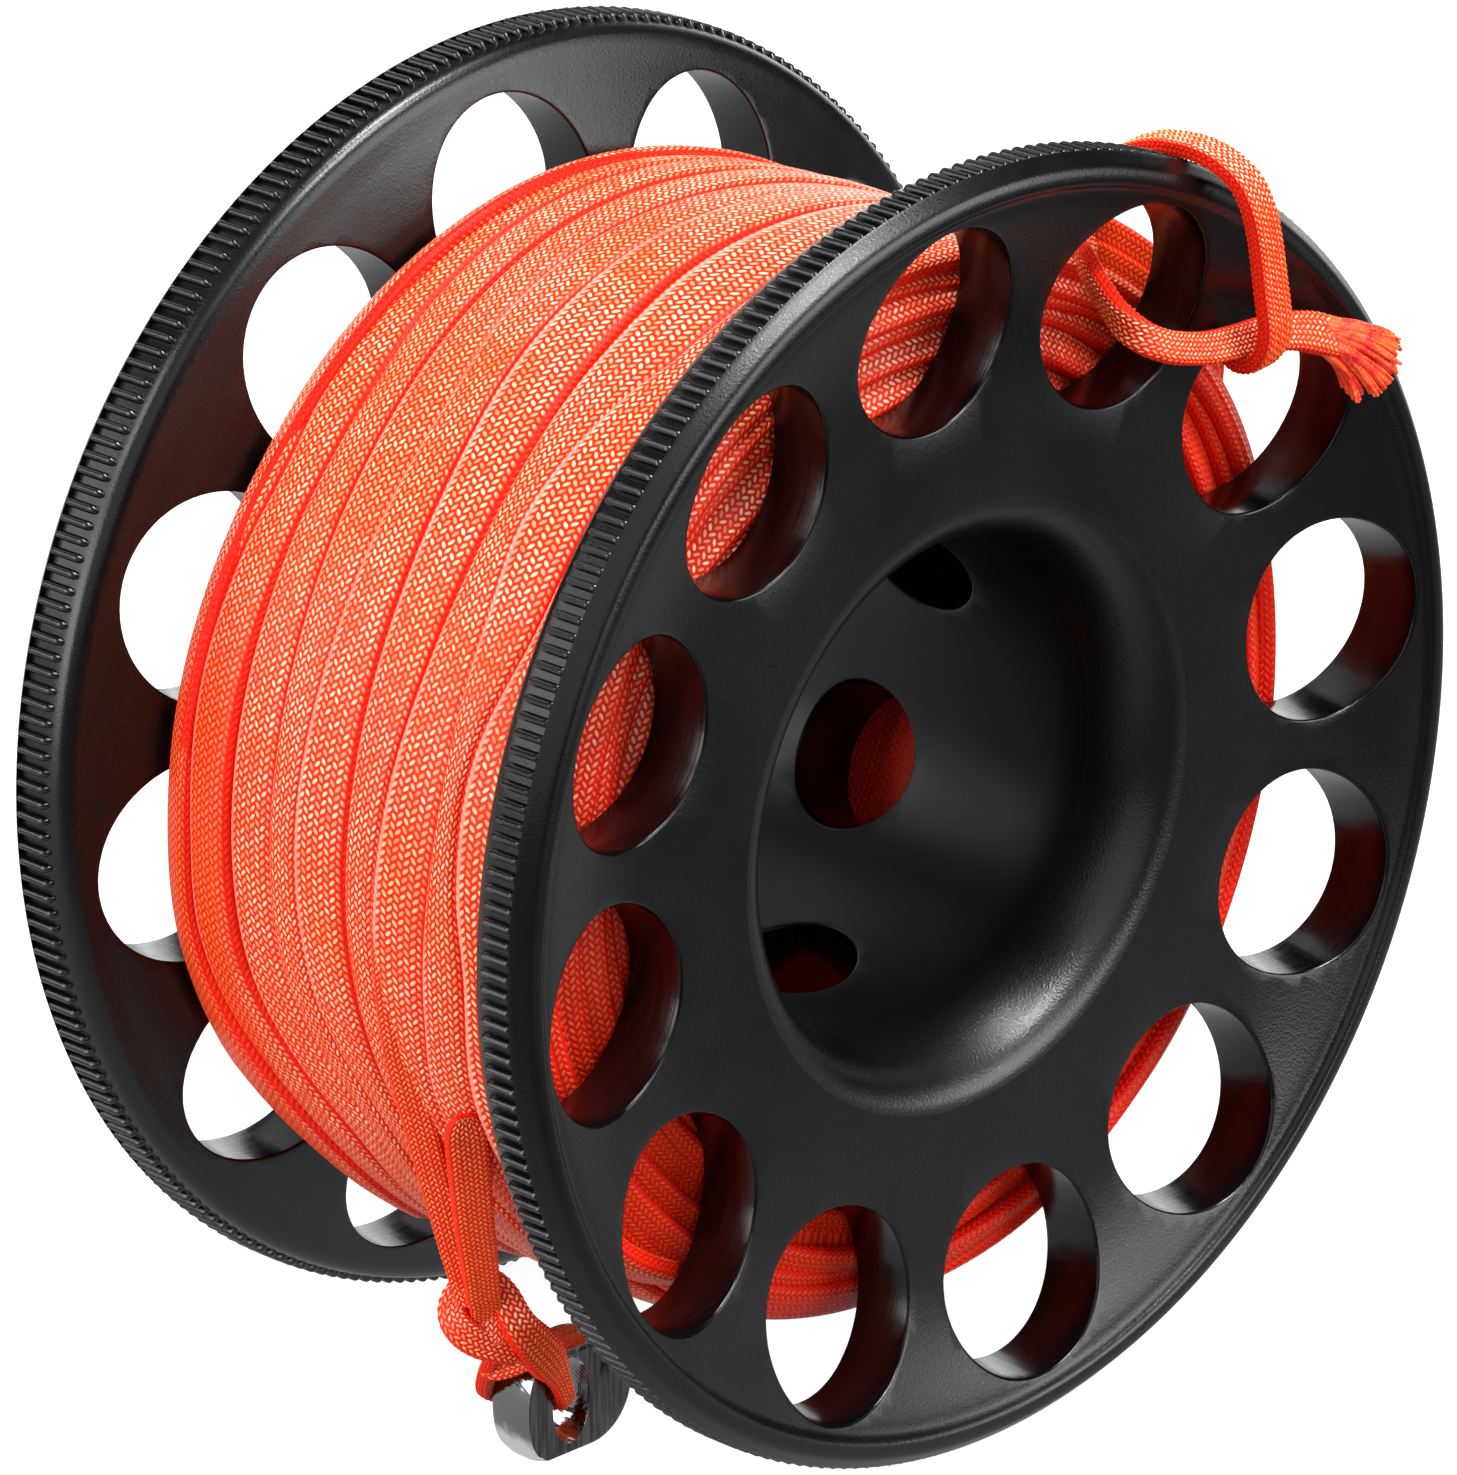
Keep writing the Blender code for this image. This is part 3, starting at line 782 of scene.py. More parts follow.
def spread(tree, value, low, high, to_low=0.0, to_high=1.0):
    """Map a value's range onto another one, eased at both ends."""
    node = tree.nodes.new("ShaderNodeMapRange")
    node.interpolation_type = "SMOOTHSTEP"
    node.inputs["From Min"].default_value = low
    node.inputs["From Max"].default_value = high
    node.inputs["To Min"].default_value = to_low
    node.inputs["To Max"].default_value = to_high
    link(tree, value, node.inputs["Value"])
    return node.outputs["Result"]


def add_bump(tree, shader, height, strength, distance, before=None):
    """Add a bump over the one before it, and give its normal."""
    bump = tree.nodes.new("ShaderNodeBump")
    bump.inputs["Strength"].default_value = strength
    bump.inputs["Distance"].default_value = distance
    link(tree, height, bump.inputs["Height"])
    if before is not None:
        link(tree, before, bump.inputs["Normal"])
    link(tree, bump.outputs["Normal"], shader.inputs["Normal"])
    return bump.outputs["Normal"]


def blasted_black(name, roughness=0.30, grain=0.5, shine=0.45):
    """Black anodised aluminium, bead blasted, with a fine speckle."""
    material, tree, shader = node_material(name)
    black = colours().black
    speckle = object_noise(tree, 5600, 2)
    cloud = object_noise(tree, 90, 3)
    tone = mix_colour(tree, spread(tree, cloud, 0.3, 0.7), tinted(black, 0.8), tinted(black, 1.25))
    dots = spread(tree, speckle, 0.60, 0.74)
    tone = mix_colour(tree, times(tree, dots, 0.30), tone, (0.010, 0.010, 0.0105, 1))
    link(tree, tone, shader.inputs["Base Color"])
    rough = maths(tree, "ADD", spread(tree, cloud, 0.3, 0.7, -0.03, 0.03), roughness)
    rough = maths(tree, "SUBTRACT", rough, times(tree, dots, 0.12))
    link(tree, rough, shader.inputs["Roughness"])
    shader.inputs["Specular IOR Level"].default_value = shine
    add_bump(tree, shader, speckle, grain, 0.00003)
    return material


def turned_black(name):
    """Black anodised aluminium straight from the cutter, with faint lines round the axis."""
    material, tree, shader = node_material(name)
    black = colours().black
    lines = object_noise(tree, 900, 3, (0.03, 9, 0.03))
    grain = object_noise(tree, 2600, 2)
    tone = mix_colour(tree, spread(tree, lines, 0.35, 0.7), tinted(black, 0.7), tinted(black, 1.4))
    link(tree, tone, shader.inputs["Base Color"])
    rough = maths(tree, "ADD", spread(tree, lines, 0.3, 0.7, -0.04, 0.06), 0.20)
    link(tree, rough, shader.inputs["Roughness"])
    shader.inputs["Specular IOR Level"].default_value = 0.4
    first = add_bump(tree, shader, grain, 0.10, 0.00003)
    add_bump(tree, shader, lines, 0.25, 0.00003, first)
    return material


def stitch_pattern(tree):
    """Give each stitch's crest, 0 to 1, and the random luck of its cell."""
    across, along = uv_place(tree, "stitches")
    column = maths(tree, "FLOOR", across)
    offset = maths(tree, "SUBTRACT", maths(tree, "SUBTRACT", across, column), 0.5)
    parity = maths(tree, "FLOORED_MODULO", column, 2)
    sign = maths(tree, "SUBTRACT", 1, times(tree, parity, 2))
    phase = maths(tree, "ADD", along, times(tree, offset, times(tree, sign, STITCH_LEAN)))
    phase = maths(tree, "ADD", phase, times(tree, parity, 0.5))
    row = maths(tree, "FLOOR", phase)
    rise = maths(tree, "SUBTRACT", maths(tree, "SUBTRACT", phase, row), 0.5)
    wide = maths(tree, "POWER", maths(tree, "DIVIDE", offset, STITCH_HALF_WIDTH), 2)
    tall = maths(tree, "POWER", maths(tree, "DIVIDE", rise, STITCH_HALF_LENGTH), 2)
    crest = maths(tree, "SUBTRACT", 1, maths(tree, "ADD", wide, tall), True)
    crest = maths(tree, "POWER", crest, STITCH_ROUNDING)
    cell = tree.nodes.new("ShaderNodeCombineXYZ")
    link(tree, column, cell.inputs["X"])
    link(tree, row, cell.inputs["Y"])
    chance = tree.nodes.new("ShaderNodeTexWhiteNoise")
    chance.noise_dimensions = "2D"
    link(tree, cell.outputs["Vector"], chance.inputs["Vector"])
    return crest, chance.outputs["Value"]


def braided(
        name, relief=0.00006, pale=1.0, dashes=1.0, edge_highlight=0.0, shade=0.0, highlight_range=(0.25, 0.72),
        plain=False):
    """Flat braided polyester: columns of stitches that lean to either side in turn.

    The flecks on the stitches go paler where the surface faces a fixed light direction, a painted
    highlight, and can be made fewer; they can fade where the surface faces away from it and be left
    out low beside the far flange, both painted shade; a strand can get a pale line along one edge,
    a painted highlight.
    """
    material, tree, shader = node_material(name)
    paint = colours()
    crest, luck = stitch_pattern(tree)
    lean, width_share = uv_place(tree, "sides")
    flat = spread(tree, lean, 0.45, 0.85, 1.0, 0.0)
    cloud = object_noise(tree, 110, 3)
    # The fixed direction below points towards the key lamp; how far each surface faces it, lit,
    # drives the painted highlight and painted shade of the flecks.
    facing = tree.nodes.new("ShaderNodeNewGeometry")
    towards = tree.nodes.new("ShaderNodeVectorMath")
    towards.operation = "DOT_PRODUCT"
    link(tree, facing.outputs["Normal"], towards.inputs[0])
    towards.inputs[1].default_value = (-0.42, -0.30, 0.86)
    lit = towards.outputs["Value"]
    # Materials with shade get a redder line and crest colour: painted shade.
    painted_shade_red = (1, 0.45 if shade else 1, 1)
    # The tone goes to the valley red between the crests and on the strands' sides; on the sides
    # that red is painted shade.
    body = times(tree, spread(tree, crest, 0.05, 0.45), spread(tree, flat, 0, 1, 0.25, 1.0))
    tone = mix_colour(tree, body, tinted(paint.line_deep, 1), tinted(paint.line, *painted_shade_red))
    # Between the crests on a strand's flat face the tone darkens to a brown red: painted shade in
    # the gaps between stitches.
    between = times(tree, spread(tree, crest, 0.0, 0.35, 0.55 * dashes, 0.0), flat)
    tone = mix_colour(tree, between, tone, (0.52, 0.026, 0.003, 1))
    dash = times(tree, spread(tree, crest, 0.28, 0.85), flat)
    dash = times(tree, dash, spread(tree, luck, 0.0, 0.9, 0.30 * dashes, dashes))
    dash = times(tree, dash, spread(tree, cloud, 0.3, 0.62, 0.7, 1.0))
    # Flecks fade where the surface faces away from the fixed light direction: painted shade.
    if shade:
        dash = times(tree, dash, spread(tree, lit, 0.1, 0.7, 1 - shade, 1.0))
    # Flecks are left out where a strand lies low beside the far flange: painted shade from that
    # flange.
    if plain:
        place = object_place(tree)
        low = spread(tree, place["Z"], 0.006, 0.020, 1.0, 0.0)
        far = spread(tree, place["Y"], 0.0078, 0.0100)
        hidden = times(tree, times(tree, low, far), 0.8)
        dash = times(tree, dash, maths(tree, "SUBTRACT", 1, hidden))
    warm = spread(tree, object_noise(tree, 130, 3), 0.48, 0.68, 0.0, 0.6)
    fleck = mix_colour(tree, warm, tinted(paint.line_fleck_highlight, 1), (1.0, 0.42, 0.12, 1))
    # Crests that face the fixed light direction take the pale fleck colour, a painted highlight;
    # the others keep the crest colour, a painted shade.
    painted_highlight = times(tree, spread(tree, lit, *highlight_range), pale)
    fleck = mix_colour(tree, painted_highlight, tinted(paint.line_crest, *painted_shade_red), fleck)
    tone = mix_colour(tree, dash, tone, fleck)
    # A pale line along one edge of each strand: a painted highlight where that edge catches the
    # light.
    if edge_highlight:
        edge_highlight_line = times(
            tree, spread(tree, lean, 0.30, 0.42), spread(tree, lean, 0.58, 0.70, 1.0, 0.0))
        edge_highlight_line = times(tree, edge_highlight_line, maths(tree, "GREATER_THAN", width_share, 0.5))
        tone = mix_colour(tree, times(tree, edge_highlight_line, edge_highlight), tone, (1.0, 0.52, 0.46, 1))
    link(tree, tone, shader.inputs["Base Color"])
    plain_look(shader, 0.38, 0.15)
    first = add_bump(tree, shader, crest, 0.8, relief)
    add_bump(tree, shader, object_noise(tree, 7000, 2), 0.2, 0.00002, first)
    return material


def fibre_red(name):
    """Loose polyester fibres of the frayed end."""
    material, tree, shader = node_material(name)
    paint = colours()
    tint = spread(tree, object_noise(tree, 900, 3), 0.35, 0.65)
    streak = object_noise(tree, 5200, 2)
    tone = mix_colour(tree, tint, tinted(paint.line_deep, 1), tinted(paint.line, 1))
    bright = times(tree, spread(tree, streak, 0.5, 0.68), 0.5)
    tone = mix_colour(tree, bright, tone, (1.0, 0.30, 0.18, 1))
    link(tree, tone, shader.inputs["Base Color"])
    plain_look(shader, 0.45, 0.3)
    add_bump(tree, shader, streak, 0.3, 0.00003)
    return material


def brushed_steel(name, polish, depth):
    """Stainless steel with fine brushed lines and a few nicks."""
    material, tree, shader = node_material(name)
    steel = colours().steel
    lines = object_noise(tree, 700, 3, (5, 5, 0.25))
    nicks = object_noise(tree, 1500, 4)
    tone = mix_colour(
        tree, spread(tree, lines, 0.3, 0.7), tinted(steel, 0.5 * depth), tinted(steel, 1.5 * depth))
    link(tree, tone, shader.inputs["Base Color"])
    rough = maths(tree, "ADD", spread(tree, nicks, 0.4, 0.75, -0.05, 0.2), polish)
    link(tree, rough, shader.inputs["Roughness"])
    shader.inputs["Metallic"].default_value = 1
    first = add_bump(tree, shader, lines, 0.25, 0.00003)
    add_bump(tree, shader, nicks, 0.15, 0.00004, first)
    return material


# The free line

def width_along(points, pairs):
    """Read a width for every point from (share of the way, width) pairs."""
    return [ease(pairs, index / (len(points) - 1)) for index in range(len(points))]


def raised_strand(name, points, facing, widths, thick, sides=76, power=4, fine=0.74):
    """Sweep a strand whose stitches stand out; its sizes are (share of the way, size) pairs."""
    return sweep(
        name, points, facing, width_along(points, widths), width_along(points, thick), sides,
        line_sizes().stitch_relief, power, fine=fine)


class FINGERSPOOL_OT_camera(bpy.types.Operator):
    """Stand the camera where the photograph was taken from."""

    bl_idname = "fingerspool.camera"
    bl_label = "Camera"

    def execute(self, context):
        forward, right, up = view_axes()
        aim = right * AIM_RIGHT + up * AIM_UP
        deselect_all()
        bpy.ops.object.camera_add(location=aim - forward * CAMERA_DISTANCE)
        camera = bpy.context.object
        camera.name = "photo_camera"
        camera.rotation_euler = forward.to_track_quat("-Z", "Y").to_euler()
        camera.data.sensor_fit = "VERTICAL"
        camera.data.sensor_height = 36
        camera.data.lens = CAMERA_LENS
        camera.data.clip_start = 0.01
        camera.data.clip_end = 20
        context.scene.camera = camera
        return {"FINISHED"}


class FINGERSPOOL_OT_free_line(bpy.types.Operator):
    """Lay the bight over the near rim and the tail that it folds round, with its frayed end."""

    bl_idname = "fingerspool.free_line"
    bl_label = "Bight and tail"

    def execute(self, context):
        thickness = line_sizes().thickness
        points = smooth_route(lifted(BIGHT_ROUTE, BIGHT_LIFT))
        across = Vector((1, 0.12, 0.05))
        facing = [across.cross(heading).normalized() for heading in headings(points)]
        bight = raised_strand(
            "flat_bight", points, facing, ((0, 0.0024), (0.5, 0.0024), (0.8, 0.0026), (1, 0.0023)),
            ((0, thickness), (1, thickness)), power=6, fine=0.78)
        finish(bight, "spool", "line_red", braided("braid_bight", dashes=0.95))
        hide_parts("line_bight")

        points = smooth_route(TAIL_ROUTE)
        facing = [heading.cross(Vector((0, 0.35, 1))).normalized() for heading in headings(points)]
        tail = raised_strand(
            "flat_tail", points, facing,
            ((0, 0.0021), (0.6, 0.0021), (0.82, 0.0025), (0.9, 0.0026), (1, 0.0016)),
            ((0, 0.00115), (0.8, 0.00125), (0.9, 0.0015), (1, 0.0010)), fine=0.78)
        finish(tail, "spool", "line_red", braided("braid_tail"))
        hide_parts("line_tail")
        tuft = self.tuft(points[-30])
        return {"FINISHED"}

    def tuft(self, start):
        """Make the burst end out of bundles of fibres that fan out past the tail."""
        chance = random.Random(7)
        fibres, steps = 230, 6
        level = Vector((1.209, -0.214, -0.277))
        down = Vector((0, -0.05, -1.069))
        deep = Vector((0.25, 0.95, 0.1)).normalized()
        curve = bpy.data.curves.new("frayed_fibres", "CURVE")
        curve.dimensions = "3D"
        curve.bevel_depth = 1
        curve.bevel_resolution = 1
        curve.use_fill_caps = True
        for number in range(fibres):
            fall = chance.random()
            side = chance.uniform(-1, 1) * math.sqrt(max(0, 1 - (2 * fall - 1) ** 2) + 0.1)
            final = math.radians(8 + 48 * fall)
            reach = (4.9 + 0.9 * fall - 2.4 * fall * fall) / 1000 * chance.uniform(0.86, 1.03)
            root = start + Vector((0, 0, 0.00105 * (1 - 2 * fall))) + deep * side * 0.0005
            radius = chance.uniform(0.00014, 0.00027)
            spline = curve.splines.new("POLY")
            spline.points.add(steps)
            for step, point in enumerate(spline.points):
                share = step / steps
                angle = final * (0.5 + 0.5 * share)
                wave = 0.00009 * math.sin(share * 6 + number)
                place = (
                    root + (level * math.cos(angle) + down * math.sin(angle)) * reach * share
                    + deep * (side * 0.0008 * share + wave) + Vector((0, 0, wave)))
                point.co = (*place, 1)
                point.radius = radius * (1 - 0.35 * share ** 3)
        tuft = bpy.data.objects.new("frayed_fibres", curve)
        bpy.context.scene.collection.objects.link(tuft)
        work_on(tuft)
        bpy.ops.object.convert(target="MESH")
        tuft = name_piece(bpy.context.object, "frayed_fibres")
        smooth(tuft, 60)
        finish(tuft, "spool", "line_red", fibre_red("fibres_red"))
        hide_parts("frayed_end")
        return tuft


class FINGERSPOOL_OT_leader(bpy.types.Operator):
    """Hang the leader, its sealed tag end, the knot and the loop through the weight's eye."""

    bl_idname = "fingerspool.leader"
    bl_label = "Leader and knot"

    def execute(self, context):
        thickness = line_sizes().thickness
        forward = view_axes()[0]
        buried = []
        for number, place in enumerate(LEADER_ROUTE):
            outward = flat_part(Vector(place)).normalized()
            buried.append(Vector(place) - outward * ease(LEADER_SINK, number) / 1000)
        points = smooth_route(buried + [buried[-1] + LEADER_TIP])
        facing = [Vector((-0.85, -0.35, -0.2)).lerp(-forward, 0.5)] * len(points)
        leader = raised_strand(
            "flat_leader", points, facing, ((0, 0.0022), (0.5, 0.0022), (1, 0.0019)),
            ((0, thickness), (1, thickness)))
        finish(leader, "spool", "line_red", braided("braid_leader", dashes=0.7))
        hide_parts("line_leader")
        tag = self.tag()
        knot = self.knot()
        loop = self.loop()
        return {"FINISHED"}

    def tag(self):
        """Lay the sealed tag end from its tip to the inside of the knot."""
        forward, right = view_axes()[:2]
        route = [
            Vector(place) + forward * ease(TAG_SINK, number) / 1000
            for number, place in enumerate(TAG_ROUTE)]
        points = smooth_route(route + [knot_point(offset) for offset in TAG_TIP])
        tag = raised_strand(
            "sealed_tag_end", points, [-forward + right * 0.15] * len(points),
            ((0, 0.0010), (0.025, 0.0019), (0.06, 0.0025), (0.12, 0.0027), (0.6, 0.0024),
             (1, 0.0020)),
            ((0, 0.0005), (0.03, 0.0008), (0.08, 0.00115), (0.5, 0.0013), (1, 0.0014)))
        finish(tag, "spool", "line_red", braided("braid_tag", dashes=0.85))
        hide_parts("tag_end")
        return tag

    def strap(self, name, route, widths, thick, lean=(0, 0)):
        """Sweep a strap through offsets from the knot's middle, its flat side to the camera."""
        forward, right, up = view_axes()
        points = smooth_route([knot_point(offset) for offset in route])
        facing = [(-forward + right * lean[0] + up * lean[1]).normalized()] * len(points)
        return raised_strand(name, points, facing, widths, thick, 64, fine=0.72)

    def knot(self):
        """Join three straps and a filling into the knot."""
        lobe = self.strap(
            "knot_lobe", KNOT_LEFT_LOBE, ((0, 0.0017), (0.3, 0.0019), (0.6, 0.0021), (1, 0.0017)),
            ((0, 0.0012), (0.5, 0.0013), (1, 0.0012)), (-0.4, 0.2))
        back = self.strap(
            "knot_back",
            ((-1.9, 1.4, -0.4), (-1.4, 0.6, -1.0), (-0.3, -0.2, -1.3), (0.8, -0.4, -1.1),
             (1.5, 0.2, -0.4)),
            ((0, 0.0018), (0.5, 0.0021), (1, 0.0018)), ((0, 0.0012), (1, 0.0012)))
        under = self.strap(
            "knot_under",
            ((2.2, -1.9, -2.4), (1.2, -2.4, -3.0), (0.2, -2.7, -3.6), (-0.4, -2.5, -4.0)),
            ((0, 0.0016), (1, 0.0014)), ((0, 0.0010), (1, 0.0010)))
        deselect_all()
        bpy.ops.mesh.primitive_uv_sphere_add(segments=32, ring_count=20, radius=0.001)
        filling = name_piece(bpy.context.object, "knot_filling")
        forward, right, up = view_axes()
        for vertex in filling.data.vertices:
            x, y, z = vertex.co
            vertex.co = KNOT_MIDDLE + up * 0.0002 + right * x * 1.45 + up * z * 1.85 - forward * y
        filling.data.uv_layers[0].name = "stitches"
        for spot in filling.data.uv_layers[0].data:
            spot.uv = (spot.uv[0] * 34, spot.uv[1] * 14)
        smooth(filling, 60)
        knot = join("tied_knot", [lobe, back, under, filling])
        finish(knot, "spool", "line_red", braided("braid_knot", dashes=0.65))
        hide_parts("end_knot")
        return knot

    def loop(self):
        """Sweep the loop; its flat side turns from the camera to the weight's eye."""
        forward = view_axes()[0]
        points = smooth_route([knot_point(offset) for offset in LOOP_LINE])
        widest = Vector((-0.8, 0, -0.6))
        facing = []
        for index, heading in enumerate(headings(points)):
            share = index / (len(points) - 1)
            facing.append(widest.cross(heading).normalized() - forward * max(0, 0.6 - 2 * share))
        loop = raised_strand(
            "flat_loop", points, facing,
            ((0, 0.0018), (0.12, 0.0021), (0.25, 0.0028), (0.33, 0.0027), (0.40, 0.0018),
             (0.46, 0.0013), (0.56, 0.0012), (0.8, 0.0013), (1, 0.0016)),
            ((0, 0.0012), (0.35, 0.0012), (0.45, 0.0010), (1, 0.0010)), 64)
        finish(loop, "spool", "line_red", braided("braid_loop"))
        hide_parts("weight_loop")
        return loop


class FINGERSPOOL_OT_weight(bpy.types.Operator):
    """Turn the small steel weight, mill its two flats and cut its oval eye."""

    bl_idname = "fingerspool.weight"
    bl_label = "Line weight"

    # The middle of its end, its radius, half the distance between its flats, and its oval eye's
    # half width, half height and distance from the end
    base = Vector((-0.0242, -0.0045, -0.0378))
    radius = 0.0039
    half_flat = 0.00165
    eye_width, eye_height, eye_offset = 0.0016, 0.00295, 0.0024

    def execute(self, context):
        bulge, shoulder = 0.0015, 0.0042
        outline = [(0, -bulge)]
        outline += [(0.0036 * cosine, -bulge * sine) for cosine, sine in turns(84, 5, -6)]
        outline += [(0.00378, 0.00006), (self.radius, 0.0004), (self.radius, 0.0022)]
        outline += [
            (self.radius * cosine, shoulder + self.radius * sine)
            for cosine, sine in turns(0, 90, 6)]
        outline.append((0, shoulder + self.radius))
        weight = lathe("steel_weight", outline, 96, closed=False)
        for vertex in weight.data.vertices:
            vertex.co = self.base + Vector((vertex.co.y, vertex.co.z, vertex.co.x))
        deselect_all()
        bpy.ops.mesh.primitive_cube_add(size=1)
        flats = name_piece(bpy.context.object, "flats")
        flats.scale = (0.02, 0.006, 0.02)
        flats.location = self.base + Vector((0.003, -self.half_flat - 0.003, 0))
        place_in_mesh(flats)
        other = copy_of(flats, "other_flat")
        other.location = (0, 2 * self.half_flat + 0.006, 0)
        place_in_mesh(other)
        cut_with(weight, join("flats", [flats, other]))
        eye = drill(self.eye_width, 0.02, 64, ALONG_AXIS, (0, 0, 0))
        eye.scale = (1, 1, self.eye_height / self.eye_width)
        eye.location = self.base + Vector((self.eye_offset, 0, 0))
        place_in_mesh(eye)
        cut_with(weight, eye)
        edit(weight)
        weld(0.00002)
        leave_edit()
        bevel = weight.modifiers.new("edge", "BEVEL")
        bevel.width = 0.00014
        bevel.segments = 2
        bevel.limit_method = "ANGLE"
        bevel.angle_limit = math.radians(35)
        apply_modifier(weight, bevel)
        for polygon in weight.data.polygons:
            if abs(polygon.normal.y) < 0.9:
                polygon.material_index = 1
        smooth(weight, 30)
        finish(weight, "weight", "weight_steel", brushed_steel("weight_brushed_steel", 0.22, 0.16),
               self.turned_steel())
        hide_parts("line_weight")
        return {"FINISHED"}

    def turned_steel(self):
        """Polished steel with the cutter's rings round the weight's own axis."""
        material, tree, shader = node_material("weight_turned_steel")
        place = object_place(tree)
        foot = self.base.z
        side = maths(tree, "POWER", maths(tree, "SUBTRACT", place["Y"], self.base.y), 2)
        tall = maths(tree, "POWER", maths(tree, "SUBTRACT", place["Z"], foot), 2)
        reach = maths(tree, "SQRT", maths(tree, "ADD", side, tall))
        rings = maths(tree, "SINE", times(tree, reach, 21000))
        nicks = object_noise(tree, 1800, 3)
        # The tone by height is pale low down, dark in the middle and pale again above, with a noisy
        # edge: a painted reflection, not the steel's own colour.
        reflection_wobble = spread(tree, object_noise(tree, 600, 3), 0.3, 0.7, -0.0006, 0.0006)
        height = maths(tree, "ADD", place["Z"], reflection_wobble)
        tone = mix_colour(
            tree, spread(tree, height, foot - 0.0024, foot - 0.0008), (0.85, 0.84, 0.84, 1),
            (0.22, 0.22, 0.23, 1))
        tone = mix_colour(
            tree, spread(tree, height, foot + 0.0026, foot + 0.0034), tone, (0.75, 0.75, 0.75, 1))
        link(tree, tone, shader.inputs["Base Color"])
        shader.inputs["Metallic"].default_value = 1
        link(tree, spread(tree, nicks, 0.45, 0.8, 0.10, 0.26), shader.inputs["Roughness"])
        first = add_bump(tree, shader, rings, 0.15, 0.00001)
        add_bump(tree, shader, nicks, 0.12, 0.00004, first)
        return material


class FINGERSPOOL_OT_winding(bpy.types.Operator):
    """Wind the outer layer, its side layers and the hidden core."""

    bl_idname = "fingerspool.winding"
    bl_label = "Winding"

    def groove(self, number, angle):
        return ease(GROOVES[number], angle) / 1000

    def surface(self, angle, along):
        """Give the winding's outer radius at an angle and a height along the axis."""
        radius = ease(WINDING_SURFACE, angle) / 1000 + line_sizes().winding_swell
        radius += 0.00012 * math.sin(3 * math.radians(angle) + 180 * along)
        return radius - 0.0006 * (abs(along) / 0.015) ** 3

    def execute(self, context):
        self.outer_layer()
        self.crossing_strand()
        self.side_layers()
        self.core()
        return {"FINISHED"}

    def outer_layer(self):
        """Wind one strand from the far flange to the near one, a turn between each two grooves."""
        points, facing, widths = [], [], []
        thickness, overlap = 0.0016, 0.00012
        sunk_points, deepest = 8, 0.0013
        start, end = HAND_OVER
        for turn in range(len(GROOVES) - 1):
            for angle in range(start, start + 360, 2):
                theta = angle % 360
                low, high = self.groove(turn + 1, theta), self.groove(turn, theta)
                if turn > 0 and start <= theta < end:
                    share = soft_step((theta - start) / (end - start))
                    low = low * share + self.groove(turn, theta) * (1 - share)
                    high = high * share + self.groove(turn - 1, theta) * (1 - share)
                middle = (low + high) / 2
                lift = 0.00016 * math.sin(2.1 * turn + math.radians(theta) * 2)
                radius = self.surface(theta, middle) - thickness / 2 + lift
                outward = outward_at(theta)
                points.append(outward * radius + Vector((0, middle, 0)))
                facing.append(outward + Vector((0, 0.36 * (middle / 0.014) ** 3, 0)))
                widths.append(high - low + overlap)
        for number in range(sunk_points):
            sink = deepest * (1 - number / sunk_points) ** 2
            for index in (number, -1 - number):
                points[index] -= flat_part(points[index]).normalized() * sink
        thick = [thickness] * len(points)
        winding = sweep("outer_winding", points, facing, widths, thick, 32, power=3.4)
        # The winding's flecks take painted highlight and shade by the fixed light direction, get a
        # painted highlight line along one edge, and are left out as painted shade low beside the
        # far flange.
        finish(winding, "spool", "line_red", braided(
            "braid_winding", relief=0.00011, pale=0.86, edge_highlight=0.45, highlight_range=(-0.6, 0.6),
            plain=True))
        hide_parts("line_winding")

    def crossing_strand(self):
        """Stand the strand that leads to the bight on its edge, beside the near flange."""
        strands = []
        foot, thickness = 0.0336, 0.0010
        for top, along, width in ((0.0370, -0.0134, 0.0021), (0.0352, -0.0137, 0.0024)):
            points = []
            for angle in range(64, 19, -1):
                rise = max(0, min(1, (angle - 30) / 10))
                radius = foot + (top - foot) * soft_step(rise)
                points.append(outward_at(angle) * radius + Vector((0, along, 0)))
            count = len(points)
            strands.append(sweep(
                "strand", points, [Vector((0, -1, 0))] * count, [width] * count,
                [thickness] * count, 32))
        strand = join("crossing_strand", strands)
        # Few flecks, a painted shade beside the near flange, and a painted highlight line along its
        # edge.
        finish(strand, "spool", "line_red", braided("braid_crossing", dashes=0.12, edge_highlight=1.0))

    def side_layers(self):
        """Stack flat strands against both flanges, as the lower layers show through the holes."""
        width, thickness = 0.0030, 0.0012
        for side, name in ((-1, "near_side_layers"), (1, "far_side_layers")):
            rings = []
            for number, radius in enumerate((0.0257, 0.0274, 0.0291, 0.0308, 0.0325, 0.0340)):
                points, facing = [], []
                for angle in range(0, 362, 2):
                    turned = math.radians(angle)
                    outward = outward_at(angle)
                    wander = 0.0005 * math.sin(turned * 2 + number * 1.7)
                    wander += 0.0003 * math.sin(turned * 5 + number)
                    along = side * (0.0140 + 0.0003 * math.sin(turned * 3 + number * 2.3))
                    points.append(outward * (radius + wander) + Vector((0, along, 0)))
                    facing.append(outward * 0.55 + Vector((0, side * 0.9, 0)))
                count = len(points)
                rings.append(sweep(
                    name + str(number), points, facing, [width] * count, [thickness] * count, 24,
                    power=3.2, closed_ends=False))
            layers = join(name, rings)
            edit(layers)
            weld(0.000005)
            leave_edit()
            # Deeper red with flecks that fade where they face away from the fixed light direction:
            # painted shade.
            finish(layers, "spool", "line_red", braided(name + "_braid", relief=0.00012, shade=0.8))

